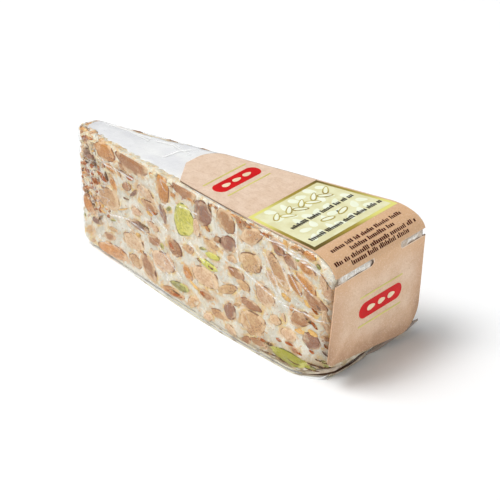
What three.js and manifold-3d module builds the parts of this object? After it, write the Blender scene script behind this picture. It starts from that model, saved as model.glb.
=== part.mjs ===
// Wedge of soft nougat packed with whole nuts and shut in clear film. A printed card lies on
// its top, bends over the rounded rim and hangs down the wide end.
// Millimetres, +Z up, +X from the narrow tip to the wide rim, the near cut side at -Y.
import * as THREE from 'three';
import Module from 'manifold-3d';
import { mergeVertices } from 'three/addons/utils/BufferGeometryUtils.js';

// Nougat wedge
const LENGTH = 158;
const HEIGHT = 55;
const TIP_HALF = { near: 6.4, far: 4.8 };
const RIM_HALF = { near: 27.5, far: 30 };
const BOW = { near: 2.5, far: 0.2 };
const FLARE = { near: 4.3, far: -1.7 };    // how far the soft sides spread at the foot
const FLARE_RUN = [0.06, 0.6];             // the part of the length over which that grows
const END_LEAN = 2.2;                      // the wide end's foot stands in by this much
const END_SKEW = 0.02;                     // the wide end is cut a little askew
const TIP_LEAN = 0.9;
const RIM_RUN = 15.6;                      // length of the rounded rim along the top
const FOLD_Z = 46.2;                       // height at which the rim turns into the end face
const TOP_ROUND = 1.6;
const BASE_ROUND = 3;
const END_BASE_ROUND = 7.3;
const TIP_ROUND = 4;
const TIP_BASE_ROUND = 8;
const CORNER_TOP = 3.5;                    // plan radius of the upright corners at the wide end
const CORNER_BASE = { near: 20, far: 7 };

// Relief of the nuts under the film
const NUT_ROWS = 4;
const NUT_COLUMNS = 13;
const NUT_LONG = 9;
const NUT_SHORT = 5;
const NUT_HEIGHT = 0.9;
const CRAG_LENGTH = 26;
const CRAG_DEPTH = 1.1;

// Card
const CARD_START = { near: 68, far: 59.2 };
const CARD_SLANT = 0.65;                   // share of its width over which the tip-side end slants
const CARD_THICKNESS = 0.45;
const CARD_GAP = 0.3;
const CARD_MARGIN = { near: 1, far: 1.6 };
const CARD_LOW = 5.9;                      // height of its lower end, halfway across
const CARD_TILT = 5.8;                     // how much higher the lower end is on the near side
const CARD_CORNER = { near: 2.5, far: 8 };
const CARD_TIP_CORNER = 8;
const NOTCH = { near: 23, far: 17.5, height: 2.8, z: 46.4 };

// Film hem at the foot
const HEM_THICKNESS = 0.5;
const HEM_Z = 0.3;
const HEM_TUCK = 0.7;         // how far it runs in under the rounded foot
const HEM_END_TUCK = 2.7;     // how far in it lies at the wide end
const HEM_END_RUN = 3.4;
const HEM_TAPER = 4;          // steps over which an end of it narrows
const LIP = { from: 34, endY: -3, out: 0.4 };
const FLAP = { fromY: -1, toY: 30.5, out: 1 };

const lerp = THREE.MathUtils.lerp;
const clamp01 = (value) => THREE.MathUtils.clamp(value, 0, 1);
const wrap = await Module();
wrap.setup();

function seeded(seed) {
  let state = seed;
  return () => {
    state = (state * 1664525 + 1013904223) % 4294967296;
    return state / 4294967296;
  };
}

// Depth of a quarter-round edge of the given radius, at a distance in from the edge.
function roundDepth(radius, distance) {
  if (distance >= radius) return 0;
  return radius - Math.sqrt(Math.max(0, radius ** 2 - (radius - distance) ** 2));
}

function topZ(x) {
  const rim = clamp01((x - LENGTH + RIM_RUN) / RIM_RUN);
  const drop = (HEIGHT - FOLD_Z) * (1 - Math.sqrt(Math.max(0, 1 - rim ** 2)));
  return HEIGHT - drop - roundDepth(TOP_ROUND, x);
}

function bottomZ(x) {
  return roundDepth(TIP_BASE_ROUND, x) + roundDepth(END_BASE_ROUND, LENGTH - x);
}

// Distance from the centre plane to the cut side, before any corner is rounded.
function planHalf(x, side) {
  const along = x / LENGTH;
  return lerp(TIP_HALF[side], RIM_HALF[side], along) + 4 * BOW[side] * along * (1 - along);
}

function halfWidth(x, z, side) {
  const corner = lerp(CORNER_BASE[side], CORNER_TOP, clamp01(z / HEIGHT));
  return planHalf(x, side) - roundDepth(TIP_ROUND, x) - roundDepth(corner, LENGTH - x);
}

// The soft piece sags: it widens and leans as it goes down.
function sag(x, y, z) {
  const low = 1 - z / HEIGHT;
  const side = y < 0 ? 'near' : 'far';
  const along = x / LENGTH;
  const spread = (FLARE[side] / RIM_HALF[side]) * THREE.MathUtils.smoothstep(along, ...FLARE_RUN);
  const lean = TIP_LEAN * (1 - along) - END_LEAN * along;
  return new THREE.Vector3(x + lean * low + END_SKEW * along * y, y * (1 + spread * low), z);
}

function nutField(seed) {
  const random = seeded(seed);
  const nuts = [];
  for (let row = 0; row < NUT_ROWS; row++) {
    for (let column = 0; column < NUT_COLUMNS; column++) {
      const angle = (random() - 0.3) * 2;
      nuts.push({
        x: (column + 0.15 + 0.7 * random()) * (LENGTH / NUT_COLUMNS),
        z: (row + 0.15 + 0.7 * random()) * (HEIGHT / NUT_ROWS),
        long: NUT_LONG * (0.7 + 0.4 * random()),
        short: NUT_SHORT * (0.7 + 0.5 * random()),
        height: NUT_HEIGHT * (0.4 + 0.6 * random()),
        cos: Math.cos(angle),
        sin: Math.sin(angle),
      });
    }
  }
  return nuts;
}

function relief(nuts, x, z) {
  let raised = 0;
  for (const nut of nuts) {
    const dx = x - nut.x;
    const dz = z - nut.z;
    const u = (dx * nut.cos - dz * nut.sin) / nut.long;
    const v = (dx * nut.sin + dz * nut.cos) / nut.short;
    raised = Math.max(raised, nut.height * Math.sqrt(Math.max(0, 1 - u * u - v * v)));
  }
  const crag = CRAG_DEPTH * clamp01(1 - x / CRAG_LENGTH);
  const rough = Math.sin(1.9 * x + 1.1 * z) * Math.sin(0.7 * x - 1.7 * z);
  return raised - 0.4 + crag * rough;
}

// One closed ring of the wedge, at a place along its length: foot, near side, top, far side.
function ring(x, fields) {
  const low = bottomZ(x);
  const high = topZ(x);
  const profile = [];
  for (let i = 0; i <= 3; i++) {
    const angle = (i / 3) * (Math.PI / 2);
    profile.push([low + BASE_ROUND * (1 - Math.cos(angle)), BASE_ROUND * (1 - Math.sin(angle))]);
  }
  for (let i = 1; i <= 18; i++) {
    profile.push([lerp(low + BASE_ROUND, high - TOP_ROUND, i / 18), 0]);
  }
  for (let i = 1; i <= 3; i++) {
    const angle = (i / 3) * (Math.PI / 2);
    profile.push([high - TOP_ROUND * (1 - Math.sin(angle)), TOP_ROUND * (1 - Math.cos(angle))]);
  }
  const edge = (side, sign) => profile.map(([z, inset]) => {
    const clear = clamp01((z - low) / 4) * clamp01((high - z) / 4) * clamp01((LENGTH - x) / 8);
    const width = halfWidth(x, z, side);
    const inner = Math.min(inset, width * 0.8);
    return sag(x, sign * (width - inner + clear * relief(fields[side], x, z)), z);
  });
  const near = edge('near', -1);
  const far = edge('far', 1).reverse();
  const across = (from, to, count) => {
    const row = [];
    for (let i = 1; i < count; i++) row.push(from.clone().lerp(to, i / count));
    return row;
  };
  const top = across(near[near.length - 1], far[0], 7);
  const foot = across(far[far.length - 1], near[0], 7);
  return [...near, ...top, ...far, ...foot];
}

// Skin through rings of equal count, closed by a fan at each end.
function loft(rings) {
  const count = rings[0].length;
  const points = rings.flat();
  const index = [];
  for (let r = 0; r < rings.length - 1; r++) {
    for (let i = 0; i < count; i++) {
      const a = r * count + i;
      const b = r * count + ((i + 1) % count);
      index.push(a, a + count, b, b, a + count, b + count);
    }
  }
  for (const r of [0, rings.length - 1]) {
    const centre = points.length;
    const middle = new THREE.Vector3();
    rings[r].forEach((point) => middle.addScaledVector(point, 1 / count));
    points.push(middle);
    for (let i = 0; i < count; i++) {
      const a = r * count + i;
      const b = r * count + ((i + 1) % count);
      if (r === 0) index.push(centre, a, b);
      else index.push(centre, b, a);
    }
  }
  const geometry = new THREE.BufferGeometry();
  geometry.setAttribute('position', new THREE.Float32BufferAttribute(
    points.flatMap((point) => point.toArray()), 3));
  geometry.setIndex(index);
  return geometry;
}

function wedge() {
  const stations = [];
  for (let i = 0; i < 5; i++) stations.push(TIP_ROUND * (1 - Math.cos((i / 5) * (Math.PI / 2))));
  for (let i = 0; i <= 52; i++) stations.push(lerp(TIP_ROUND, LENGTH - RIM_RUN, i / 52));
  for (let i = 1; i <= 9; i++) {
    stations.push(LENGTH - RIM_RUN * (1 - Math.sin((i / 9) * (Math.PI / 2))));
  }
  const fields = { near: nutField(11), far: nutField(29) };
  return loft(stations.map((x) => ring(x, fields)));
}

// Centre line of the card in X and Z with its outward direction, from its tip-side end down.
function cardLine() {
  const line = [];
  const flatFrom = CARD_START.far + CARD_TIP_CORNER;
  const flatTo = LENGTH - RIM_RUN;
  const corner = CARD_CORNER.far;
  const rise = FOLD_Z - CARD_LOW - corner;
  for (let i = 0; i < 7; i++) {
    line.push([flatFrom - CARD_TIP_CORNER * Math.cos((i / 7) * (Math.PI / 2)), HEIGHT, 0, 1]);
  }
  for (let i = 0; i < 18; i++) line.push([lerp(flatFrom, flatTo, i / 18), HEIGHT, 0, 1]);
  for (let i = 0; i <= 12; i++) {
    const angle = (i / 12) * (Math.PI / 2);
    const normal = new THREE.Vector2(Math.sin(angle) / RIM_RUN,
      Math.cos(angle) / (HEIGHT - FOLD_Z)).normalize();
    line.push([LENGTH - RIM_RUN * (1 - Math.sin(angle)),
      FOLD_Z + (HEIGHT - FOLD_Z) * Math.cos(angle), normal.x, normal.y]);
  }
  for (let i = 1; i <= 9; i++) line.push([LENGTH, FOLD_Z - rise * (i / 9), 1, 0]);
  for (let i = 1; i <= 6; i++) {
    const drop = corner * Math.sin((i / 6) * (Math.PI / 2));
    line.push([LENGTH, CARD_LOW + corner - drop, 1, 0]);
  }
  return line;
}

function cardEdge(x, z, side) {
  const tipCorner = side === 'far' ? roundDepth(CARD_TIP_CORNER, x - CARD_START.far) : 0;
  const lowCorner = roundDepth(CARD_CORNER[side], z - CARD_LOW);
  return planHalf(x, side) - CARD_MARGIN[side] - tipCorner - lowCorner;
}

// The card as a bent slab: rounded at its far tip-side corner and at both lower corners.
function card() {
  const columns = 16;
  const rings = cardLine().map(([x, z, nx, nz]) => {
    const near = -cardEdge(x, z, 'near');
    const far = cardEdge(x, z, 'far');
    const fade = clamp01(1 - (x - CARD_START.far) / 40);
    const slant = (CARD_START.near - CARD_START.far) * fade;
    const tilt = CARD_TILT * clamp01((FOLD_Z - z) / (FOLD_Z - CARD_LOW));
    const layer = (offset) => {
      const row = [];
      for (let i = 0; i <= columns; i++) {
        const across = i / columns;
        const along = x + slant * clamp01(1 - across / CARD_SLANT);
        const point = sag(along, lerp(near, far, across), z + tilt * (0.5 - across));
        row.push(point.add(new THREE.Vector3(nx, 0, nz).multiplyScalar(offset)));
      }
      return row;
    };
    return [...layer(CARD_GAP).reverse(), ...layer(CARD_GAP + CARD_THICKNESS)];
  });
  return loft(rings);
}

function toManifold(geometry) {
  const merged = geometry.clone();
  for (const name of ['normal', 'uv']) merged.deleteAttribute(name);
  const solid = mergeVertices(merged, 1e-4);
  return new wrap.Manifold(new wrap.Mesh({
    numProp: 3,
    vertProperties: new Float32Array(solid.attributes.position.array),
    triVerts: new Uint32Array(solid.index.array),
  }));
}

function fromManifold(solid) {
  const mesh = solid.getMesh();
  const geometry = new THREE.BufferGeometry();
  geometry.setAttribute('position', new THREE.BufferAttribute(mesh.vertProperties, 3));
  geometry.setIndex(new THREE.BufferAttribute(mesh.triVerts, 1));
  return geometry;
}

// Slot with a round inner end, cut through the card at the fold from one of its edges.
function notch(side) {
  const sign = side === 'near' ? -1 : 1;
  const outer = sign * (RIM_HALF[side] + 8);
  const inner = sign * (RIM_HALF[side] - NOTCH[side] + NOTCH.height / 2);
  const bar = new THREE.BoxGeometry(12, Math.abs(outer - inner), NOTCH.height);
  bar.translate(LENGTH, (outer + inner) / 2, NOTCH.z);
  const end = new THREE.CylinderGeometry(NOTCH.height / 2, NOTCH.height / 2, 12, 20);
  end.rotateZ(Math.PI / 2).translate(LENGTH, inner, NOTCH.z);
  return toManifold(bar).add(toManifold(end));
}

function notchedCard() {
  return fromManifold(toManifold(card())
    .subtract(notch('near'))
    .subtract(notch('far')));
}

function hemPoint(x, y) {
  const last = Math.max(0, x - LENGTH + HEM_END_RUN);
  return sag(x - HEM_END_TUCK * (last / HEM_END_RUN), y, HEM_Z);
}

// Foot outline of the wedge at the hem's height, from a place on the near side round the wide end.
function footPath(from, endY) {
  const path = [];
  const corner = CORNER_BASE.near;
  for (let x = from; x < LENGTH - corner; x += 3) path.push(hemPoint(x, -halfWidth(x, HEM_Z, 'near')));
  for (let i = 0; i <= 12; i++) {
    const x = LENGTH - corner * (1 - Math.sin((i / 12) * (Math.PI / 2)));
    path.push(hemPoint(x, -halfWidth(x, HEM_Z, 'near')));
  }
  const endFrom = corner - RIM_HALF.near;
  for (let i = 1; i <= 3; i++) path.push(hemPoint(LENGTH, lerp(endFrom, endY, i / 3)));
  return path;
}

// Thin flat ribbon that runs in under the foot path and out past it, narrower at its ends.
function ribbon(path, outside) {
  const rings = path.map((point, i) => {
    const ahead = path[Math.min(i + 1, path.length - 1)];
    const behind = path[Math.max(i - 1, 0)];
    const run = ahead.clone().sub(behind).normalize();
    const out = new THREE.Vector3(run.y, -run.x, 0);
    const taper = Math.min(1, (1 + Math.min(i, path.length - 1 - i)) / HEM_TAPER);
    const width = (outside + HEM_TUCK) * taper * (1 + 0.15 * Math.sin(0.9 * i));
    const inner = point.clone().addScaledVector(out, -HEM_TUCK);
    const outer = point.clone().addScaledVector(out, width - HEM_TUCK);
    const up = new THREE.Vector3(0, 0, HEM_THICKNESS);
    return [inner, outer, outer.clone().add(up), inner.clone().add(up)];
  });
  return loft(rings);
}

function endPath(fromY, toY) {
  const path = [];
  for (let i = 0; i <= 12; i++) path.push(hemPoint(LENGTH, lerp(fromY, toY, i / 12)));
  return path;
}

function part(name, geometry, color, roughness, opacity = 1) {
  const flat = geometry.index ? geometry : mergeVertices(geometry);
  flat.computeVertexNormals();
  const material = new THREE.MeshStandardMaterial({
    color, roughness, opacity, transparent: opacity < 1 });
  const mesh = new THREE.Mesh(flat, material);
  mesh.name = name;
  return mesh;
}

const meshes = [
  part('wrapped_nougat', wedge(), '#d9c4a2', 0.35),
  part('label_card', notchedCard(), '#e6c7ae', 0.6),
  part('film_lip', ribbon(footPath(LIP.from, LIP.endY), LIP.out), '#d8d4c4', 0.2),
  part('film_flap', ribbon(endPath(FLAP.fromY, FLAP.toY), FLAP.out), '#d8d4c4', 0.2),
];

// Centre the whole over the origin with its base on z = 0.
const box = new THREE.Box3();
meshes.forEach((mesh) => box.union(new THREE.Box3().setFromObject(mesh)));
const centre = box.getCenter(new THREE.Vector3());
meshes.forEach((mesh) => mesh.geometry.translate(-centre.x, -centre.y, -box.min.z));

const group = new THREE.Group();
group.name = 'nougat_bar';
group.add(...meshes);
export default group;
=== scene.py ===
"""A wedge of nougat shut in clear film, with a printed card over its top and wide end.

Lengths are millimetres in the wedge's own frame until a mesh is made: X from the narrow tip to the
wide rim, the near cut side at -Y, Z up from the foot.
"""

import itertools
import math

import bpy
import numpy as np
from mathutils import Matrix, Vector


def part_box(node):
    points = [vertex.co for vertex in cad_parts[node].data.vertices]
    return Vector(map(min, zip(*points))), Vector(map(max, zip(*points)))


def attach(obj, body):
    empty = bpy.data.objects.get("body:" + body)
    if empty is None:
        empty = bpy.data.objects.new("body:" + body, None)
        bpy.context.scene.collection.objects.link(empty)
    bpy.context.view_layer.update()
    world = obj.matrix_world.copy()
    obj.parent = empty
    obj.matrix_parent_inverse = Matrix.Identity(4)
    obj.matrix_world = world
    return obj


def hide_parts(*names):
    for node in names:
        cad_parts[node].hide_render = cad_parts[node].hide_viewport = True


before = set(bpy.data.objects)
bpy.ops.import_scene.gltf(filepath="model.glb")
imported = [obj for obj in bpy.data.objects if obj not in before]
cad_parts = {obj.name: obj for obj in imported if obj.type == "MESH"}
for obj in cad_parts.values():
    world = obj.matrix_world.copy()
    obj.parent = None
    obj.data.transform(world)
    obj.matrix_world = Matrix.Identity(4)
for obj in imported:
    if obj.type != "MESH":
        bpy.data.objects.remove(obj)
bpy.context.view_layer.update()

MM = 0.001
NEAR, FAR = -1, 1
FLOOR_CLEAR = 0.02

# The wedge, as in the CAD source.
LENGTH, HEIGHT = 158.0, 55.0
TIP_HALF = {NEAR: 6.4, FAR: 4.8}
RIM_HALF = {NEAR: 27.5, FAR: 30.0}
BOW = {NEAR: 2.5, FAR: 0.2}
FLARE = {NEAR: 4.3, FAR: -1.7}
FLARE_RUN = (0.06, 0.6)
END_LEAN, TIP_LEAN, END_SKEW = 2.2, 0.9, 0.02
RIM_RUN, FOLD_Z = 15.6, 46.2
TOP_ROUND, BASE_ROUND = 1.6, 3.0
END_BASE_ROUND, TIP_ROUND, TIP_BASE_ROUND = 7.3, 4.0, 8.0
CORNER_TOP = 3.5
CORNER_BASE = {NEAR: 20.0, FAR: 7.0}

# The card, as in the CAD source.
CARD_START = {NEAR: 68.0, FAR: 59.2}
CARD_SLANT = 0.65
CARD_THICKNESS, CARD_GAP = 0.45, 0.3
CARD_MARGIN = {NEAR: 1.0, FAR: 1.6}
CARD_LOW, CARD_TILT, CARD_TIP_CORNER = 5.9, 5.8, 8.0
CARD_CORNER = {NEAR: 3.5, FAR: 10.5}
NOTCH_Z, NOTCH_HEIGHT = 46.4, 2.8
NOTCH = {NEAR: 23.0, FAR: 17.5}

# Where the photograph was taken from, round the part's own centre.
AZIMUTH, ELEVATION, ROLL = 40.57, 29.35, -0.23
DISTANCE = 884.4
TARGET = (14.5, -2.2, 27.5)
SENSOR, LENS = 36.0, 156.4
PHOTO = 500


# ---------------------------------------------------------------- form of the wedge


def lerp(a, b, share):
    """From a to b by a share."""
    return a + (b - a) * share


def smoothstep(value, low, high):
    """0 below low, 1 above high, smooth between."""
    share = np.clip((value - low) / (high - low), 0, 1)
    return share * share * (3 - 2 * share)


def round_depth(radius, distance):
    """Depth of a quarter-round edge at a distance in from the edge."""
    inside = np.clip(radius - distance, 0, radius)
    return radius - np.sqrt(radius**2 - inside**2)


def top_z(x):
    """Height of the top, round at the tip and over the rim."""
    rim = np.clip((x - LENGTH + RIM_RUN) / RIM_RUN, 0, 1)
    drop = (HEIGHT - FOLD_Z) * (1 - np.sqrt(1 - rim**2))
    return HEIGHT - drop - round_depth(TOP_ROUND, x)


def bottom_z(x):
    """Height of the foot, round at both ends."""
    return round_depth(TIP_BASE_ROUND, x) + round_depth(END_BASE_ROUND, LENGTH - x)


def plan_half(x, side):
    """Distance from the centre plane to a side, seen from above, before its edges are rounded."""
    along = x / LENGTH
    return lerp(TIP_HALF[side], RIM_HALF[side], along) + 4 * BOW[side] * along * (1 - along)


def side_half(x, z, side):
    """Distance from the centre plane to the side, its edges and corners rounded."""
    corner = lerp(CORNER_BASE[side], CORNER_TOP, np.clip(z / HEIGHT, 0, 1))
    width = plan_half(x, side) - round_depth(TIP_ROUND, x) - round_depth(corner, LENGTH - x)
    inset = round_depth(BASE_ROUND, z - bottom_z(x)) + round_depth(TOP_ROUND, top_z(x) - z)
    return width - np.minimum(inset, width * 0.8)


def sag(x, y, z):
    """The soft piece widens and leans as it goes down."""
    low = 1 - z / HEIGHT
    along = x / LENGTH
    spread = np.where(y < 0, FLARE[NEAR] / RIM_HALF[NEAR], FLARE[FAR] / RIM_HALF[FAR])
    spread = spread * smoothstep(along, *FLARE_RUN)
    lean = TIP_LEAN * (1 - along) - END_LEAN * along
    moved = (x + lean * low + END_SKEW * along * y, y * (1 + spread * low), z + 0 * y)
    return np.stack(np.broadcast_arrays(*moved), axis=-1)


def side_point(x, z, side):
    """Place on a cut side."""
    return sag(x, side * side_half(x, z, side), z)


def side_normal(x, z, side):
    """Outward direction of a cut side."""
    step = 0.05
    along = side_point(x + step, z, side) - side_point(x - step, z, side)
    up = side_point(x, z + step, side) - side_point(x, z - step, side)
    out = np.cross(along, up) if side == NEAR else np.cross(up, along)
    return out / np.linalg.norm(out, axis=-1, keepdims=True)


# ---------------------------------------------------------------- smooth seeded noise


def lattice(cell, seed):
    """A steady random number from 0 to 1 for each whole-numbered place."""
    mixed = cell[..., 0] * 374761393 + cell[..., 1] * 668265263 + cell[..., 2] * 974634777
    mixed = (mixed + seed * 1274126177) & 0xFFFFFFFF
    mixed = ((mixed ^ (mixed >> 13)) * 1274126177) & 0xFFFFFFFF
    return ((mixed ^ (mixed >> 16)) & 0xFFFF) / 65535.0


def noise(points, size, seed):
    """Smooth noise from -1 to 1, with features of about the given size."""
    place = np.asarray(points, float) / size
    base = np.floor(place).astype(np.int64)
    part = place - base
    part = part * part * (3 - 2 * part)
    total = np.zeros(place.shape[:-1])
    for corner in itertools.product((0, 1), repeat=3):
        weight = np.prod(np.where(corner, part, 1 - part), axis=-1)
        total += weight * lattice(base + np.array(corner), seed)
    return 2 * total - 1


# ---------------------------------------------------------------- camera


def camera_axes():
    """Right, up and back directions of the camera."""
    turn, lift, roll = (math.radians(angle) for angle in (AZIMUTH, ELEVATION, ROLL))
    flat = math.cos(lift)
    back = np.array([math.sin(turn) * flat, -math.cos(turn) * flat, math.sin(lift)])
    right = np.array([math.cos(turn), math.sin(turn), 0])
    up = np.cross(back, right)
    rolled = math.cos(roll) * right + math.sin(roll) * up
    return rolled, math.cos(roll) * up - math.sin(roll) * right, back


RIGHT, UP, BACK = camera_axes()
EYE = np.array(TARGET) + BACK * DISTANCE


def add_camera():
    """The camera that took the photograph."""
    data = bpy.data.cameras.new("camera")
    data.sensor_width = SENSOR
    data.lens = LENS
    data.clip_start = 0.05
    data.clip_end = 20
    camera = bpy.data.objects.new("camera", data)
    turn = Matrix(np.column_stack([RIGHT, UP, BACK])).to_4x4()
    camera.matrix_world = Matrix.Translation(Vector(EYE * MM)) @ turn
    bpy.context.scene.collection.objects.link(camera)
    bpy.context.scene.camera = camera


# ---------------------------------------------------------------- card path


def rim_table():
    """Angles round the elliptic rim and the arc length to each."""
    angles = np.linspace(0, math.pi / 2, 200)
    across = RIM_RUN * np.sin(angles)
    down = (HEIGHT - FOLD_Z) * (1 - np.cos(angles))
    steps = np.hypot(np.diff(across), np.diff(down))
    return angles, np.concatenate([[0], np.cumsum(steps)])


RIM_ANGLES, RIM_ARCS = rim_table()
RIM_FROM = LENGTH - RIM_RUN
FOLD_S = RIM_FROM + RIM_ARCS[-1]
CARD_END_S = FOLD_S + FOLD_Z - CARD_LOW


def card_path(s):
    """X, Z and the outward direction of the card's line. The distance s is X on the flat top."""
    s = np.asarray(s, float)
    angle = np.interp(s - RIM_FROM, RIM_ARCS, RIM_ANGLES)
    drop = HEIGHT - FOLD_Z
    x = np.where(s < RIM_FROM, s, RIM_FROM + RIM_RUN * np.sin(angle))
    z = FOLD_Z + drop * np.cos(angle) - np.clip(s - FOLD_S, 0, None)
    nx, nz = np.sin(angle) / RIM_RUN, np.cos(angle) / drop
    size = np.hypot(nx, nz)
    return x, z, nx / size, nz / size


def card_point(s, y, lift):
    """Place on the card, lifted off the nougat by a distance."""
    x, z, nx, nz = card_path(s)
    out = np.stack(np.broadcast_arrays(nx, 0 * nx, nz), axis=-1)
    return sag(x, y, z) + out * np.asarray(lift)[..., None]


def card_edge(s, side):
    """Distance from the centre plane to the card's edge, its corners rounded."""
    x, z, _, _ = card_path(s)
    tip_corner = round_depth(CARD_TIP_CORNER, x - CARD_START[FAR]) if side == FAR else 0
    low_corner = round_depth(CARD_CORNER[side], z - CARD_LOW)
    return plan_half(x, side) - CARD_MARGIN[side] - tip_corner - low_corner


def card_rows(columns):
    """Card places as grids of s and y, from its tip-side end to its lower end."""
    start, straight = CARD_START[FAR], CARD_START[FAR] + CARD_TIP_CORNER
    turn = np.linspace(0, math.pi / 2, 10)
    s = np.concatenate([
        straight - CARD_TIP_CORNER * np.cos(turn)[:-1],
        np.linspace(straight, RIM_FROM, 60)[:-1],
        np.linspace(RIM_FROM, FOLD_S, 40)[:-1],
        np.linspace(FOLD_S, CARD_END_S - CARD_CORNER[FAR], 34)[:-1],
        CARD_END_S - CARD_CORNER[FAR] * (1 - np.sin(turn)),
    ])
    across = np.linspace(0, 1, columns + 1)
    fade = np.clip(1 - (s[:, None] - start) / 40, 0, 1)
    slant = (CARD_START[NEAR] - start) * np.clip(1 - across / CARD_SLANT, 0, 1) * fade
    hang = np.clip((s[:, None] - FOLD_S) / (CARD_END_S - FOLD_S), 0, 1)
    y = lerp(-card_edge(s, NEAR)[:, None], card_edge(s, FAR)[:, None], across)
    return s[:, None] + slant - CARD_TILT * hang * (0.5 - across), y


# ---------------------------------------------------------------- from millimetres to the part


def frame_shift():
    """Moves the wedge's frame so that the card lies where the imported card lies."""
    s, y = card_rows(16)
    layers = [card_point(s, y, lift) for lift in (CARD_GAP, CARD_GAP + CARD_THICKNESS)]
    own = np.concatenate([layer.reshape(-1, 3) for layer in layers])
    low, high = (np.array(corner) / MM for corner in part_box("label_card"))
    return (low + high) / 2 - (own.min(0) + own.max(0)) / 2


SHIFT = frame_shift()


def project(points):
    """Places in the photograph, in its pixels, of points in the wedge's frame."""
    seen = points + SHIFT - EYE
    scale = LENS / SENSOR * PHOTO / -(seen @ BACK)
    return np.stack([PHOTO / 2 + scale * (seen @ RIGHT), PHOTO / 2 - scale * (seen @ UP)], axis=-1)


def seen_at(pixel, surface, start, low, high):
    """Where a pixel falls on a surface with two ways, and the pixels per millimetre along each."""
    place = np.array(start, float)
    step = 0.05
    for _ in range(14):
        at = project(surface(*place))
        turn = np.column_stack([
            (project(surface(place[0] + step, place[1])) - at) / step,
            (project(surface(place[0], place[1] + step)) - at) / step,
        ])
        place = np.clip(place + np.linalg.solve(turn, np.array(pixel) - at), low, high)
    return place, turn


def near_side_at(pixel):
    """X and Z on the near side under a pixel, and the pixels per millimetre along each."""
    middle = (LENGTH / 2, HEIGHT / 2)
    low, high = (1.0, 3.2), (LENGTH - 3, HEIGHT - 1.7)
    return seen_at(pixel, lambda x, z: side_point(x, z, NEAR), middle, low, high)


def top_at(pixel):
    """X and Y on the top under a pixel."""
    low, high = (0, -RIM_HALF[FAR]), (LENGTH, RIM_HALF[FAR])
    return seen_at(pixel, lambda x, y: sag(x, y, HEIGHT), (40, 0), low, high)[0]


def add_mesh(name, points, faces, material, colours=None, values=None, smooth=True):
    """A mesh object from points in the wedge's frame, with colours and numbers kept per point."""
    mesh = bpy.data.meshes.new(name)
    placed = np.asarray(points) + SHIFT
    placed[:, 2] = np.maximum(placed[:, 2], FLOOR_CLEAR)
    mesh.from_pydata((placed * MM).tolist(), [], faces)
    mesh.materials.append(material)
    mesh.polygons.foreach_set("use_smooth", [smooth] * len(mesh.polygons))
    if colours is not None:
        layer = mesh.color_attributes.new("tone", "FLOAT_COLOR", "POINT")
        rgba = np.column_stack([colours, np.ones(len(colours))])
        layer.data.foreach_set("color", rgba.astype(np.float32).ravel())
    for key, numbers in (values or {}).items():
        layer = mesh.attributes.new(key, "FLOAT", "POINT")
        layer.data.foreach_set("value", np.asarray(numbers, np.float32))
    mesh.update()
    piece = bpy.data.objects.new(name, mesh)
    bpy.context.scene.collection.objects.link(piece)
    return piece


def dress(piece, slot, *nodes):
    """The piece rides on the part and stands for CAD nodes."""
    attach(piece, "root")
    if nodes:
        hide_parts(*nodes)


# ---------------------------------------------------------------- closed skin of the wedge


def grid_faces(rows, columns, start=0, closed=False):
    """Faces between the rows of a grid of points; closed joins each row's last point to its first."""
    faces = []
    for r in range(rows - 1):
        for c in range(columns if closed else columns - 1):
            a = start + r * columns + c
            b = start + r * columns + (c + 1) % columns
            faces.append((a, a + columns, b + columns, b))
    return faces


def disc_faces(around, rings):
    """Faces of a disc: its middle point, then rings of points outwards."""
    faces = [(0, 1 + i, 1 + (i + 1) % around) for i in range(around)]
    for a in range(1, 1 + (rings - 1) * around, around):
        b = a + around
        faces += [(a + i, b + i, b + (i + 1) % around, a + (i + 1) % around) for i in range(around)]
    return faces


def shifted(faces, count):
    """The same faces for points that come after a number of others."""
    return [tuple(count + i for i in face) for face in faces]


def stations(step):
    """Places along the length, closer together round the tip and the rim."""
    tip = TIP_ROUND * (1 - np.cos(np.linspace(0, math.pi / 2, 8)))[:-1]
    body = np.linspace(TIP_ROUND, RIM_FROM, int((RIM_FROM - TIP_ROUND) / step))
    turn = np.linspace(0, math.pi / 2, int(RIM_RUN * 1.4 / step))
    return np.concatenate([tip, body[:-1], LENGTH - RIM_RUN * (1 - np.sin(turn))])


def vertex_normals(points, faces):
    """Outward direction at each point of a skin of four-cornered faces."""
    corners = np.array(faces)
    at = points[corners]
    face_normals = np.cross(at[:, 2] - at[:, 0], at[:, 3] - at[:, 1])
    total = np.zeros_like(points)
    for i in range(4):
        np.add.at(total, corners[:, i], face_normals)
    size = np.linalg.norm(total, axis=1, keepdims=True)
    return total / np.maximum(size, 1e-12)


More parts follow.
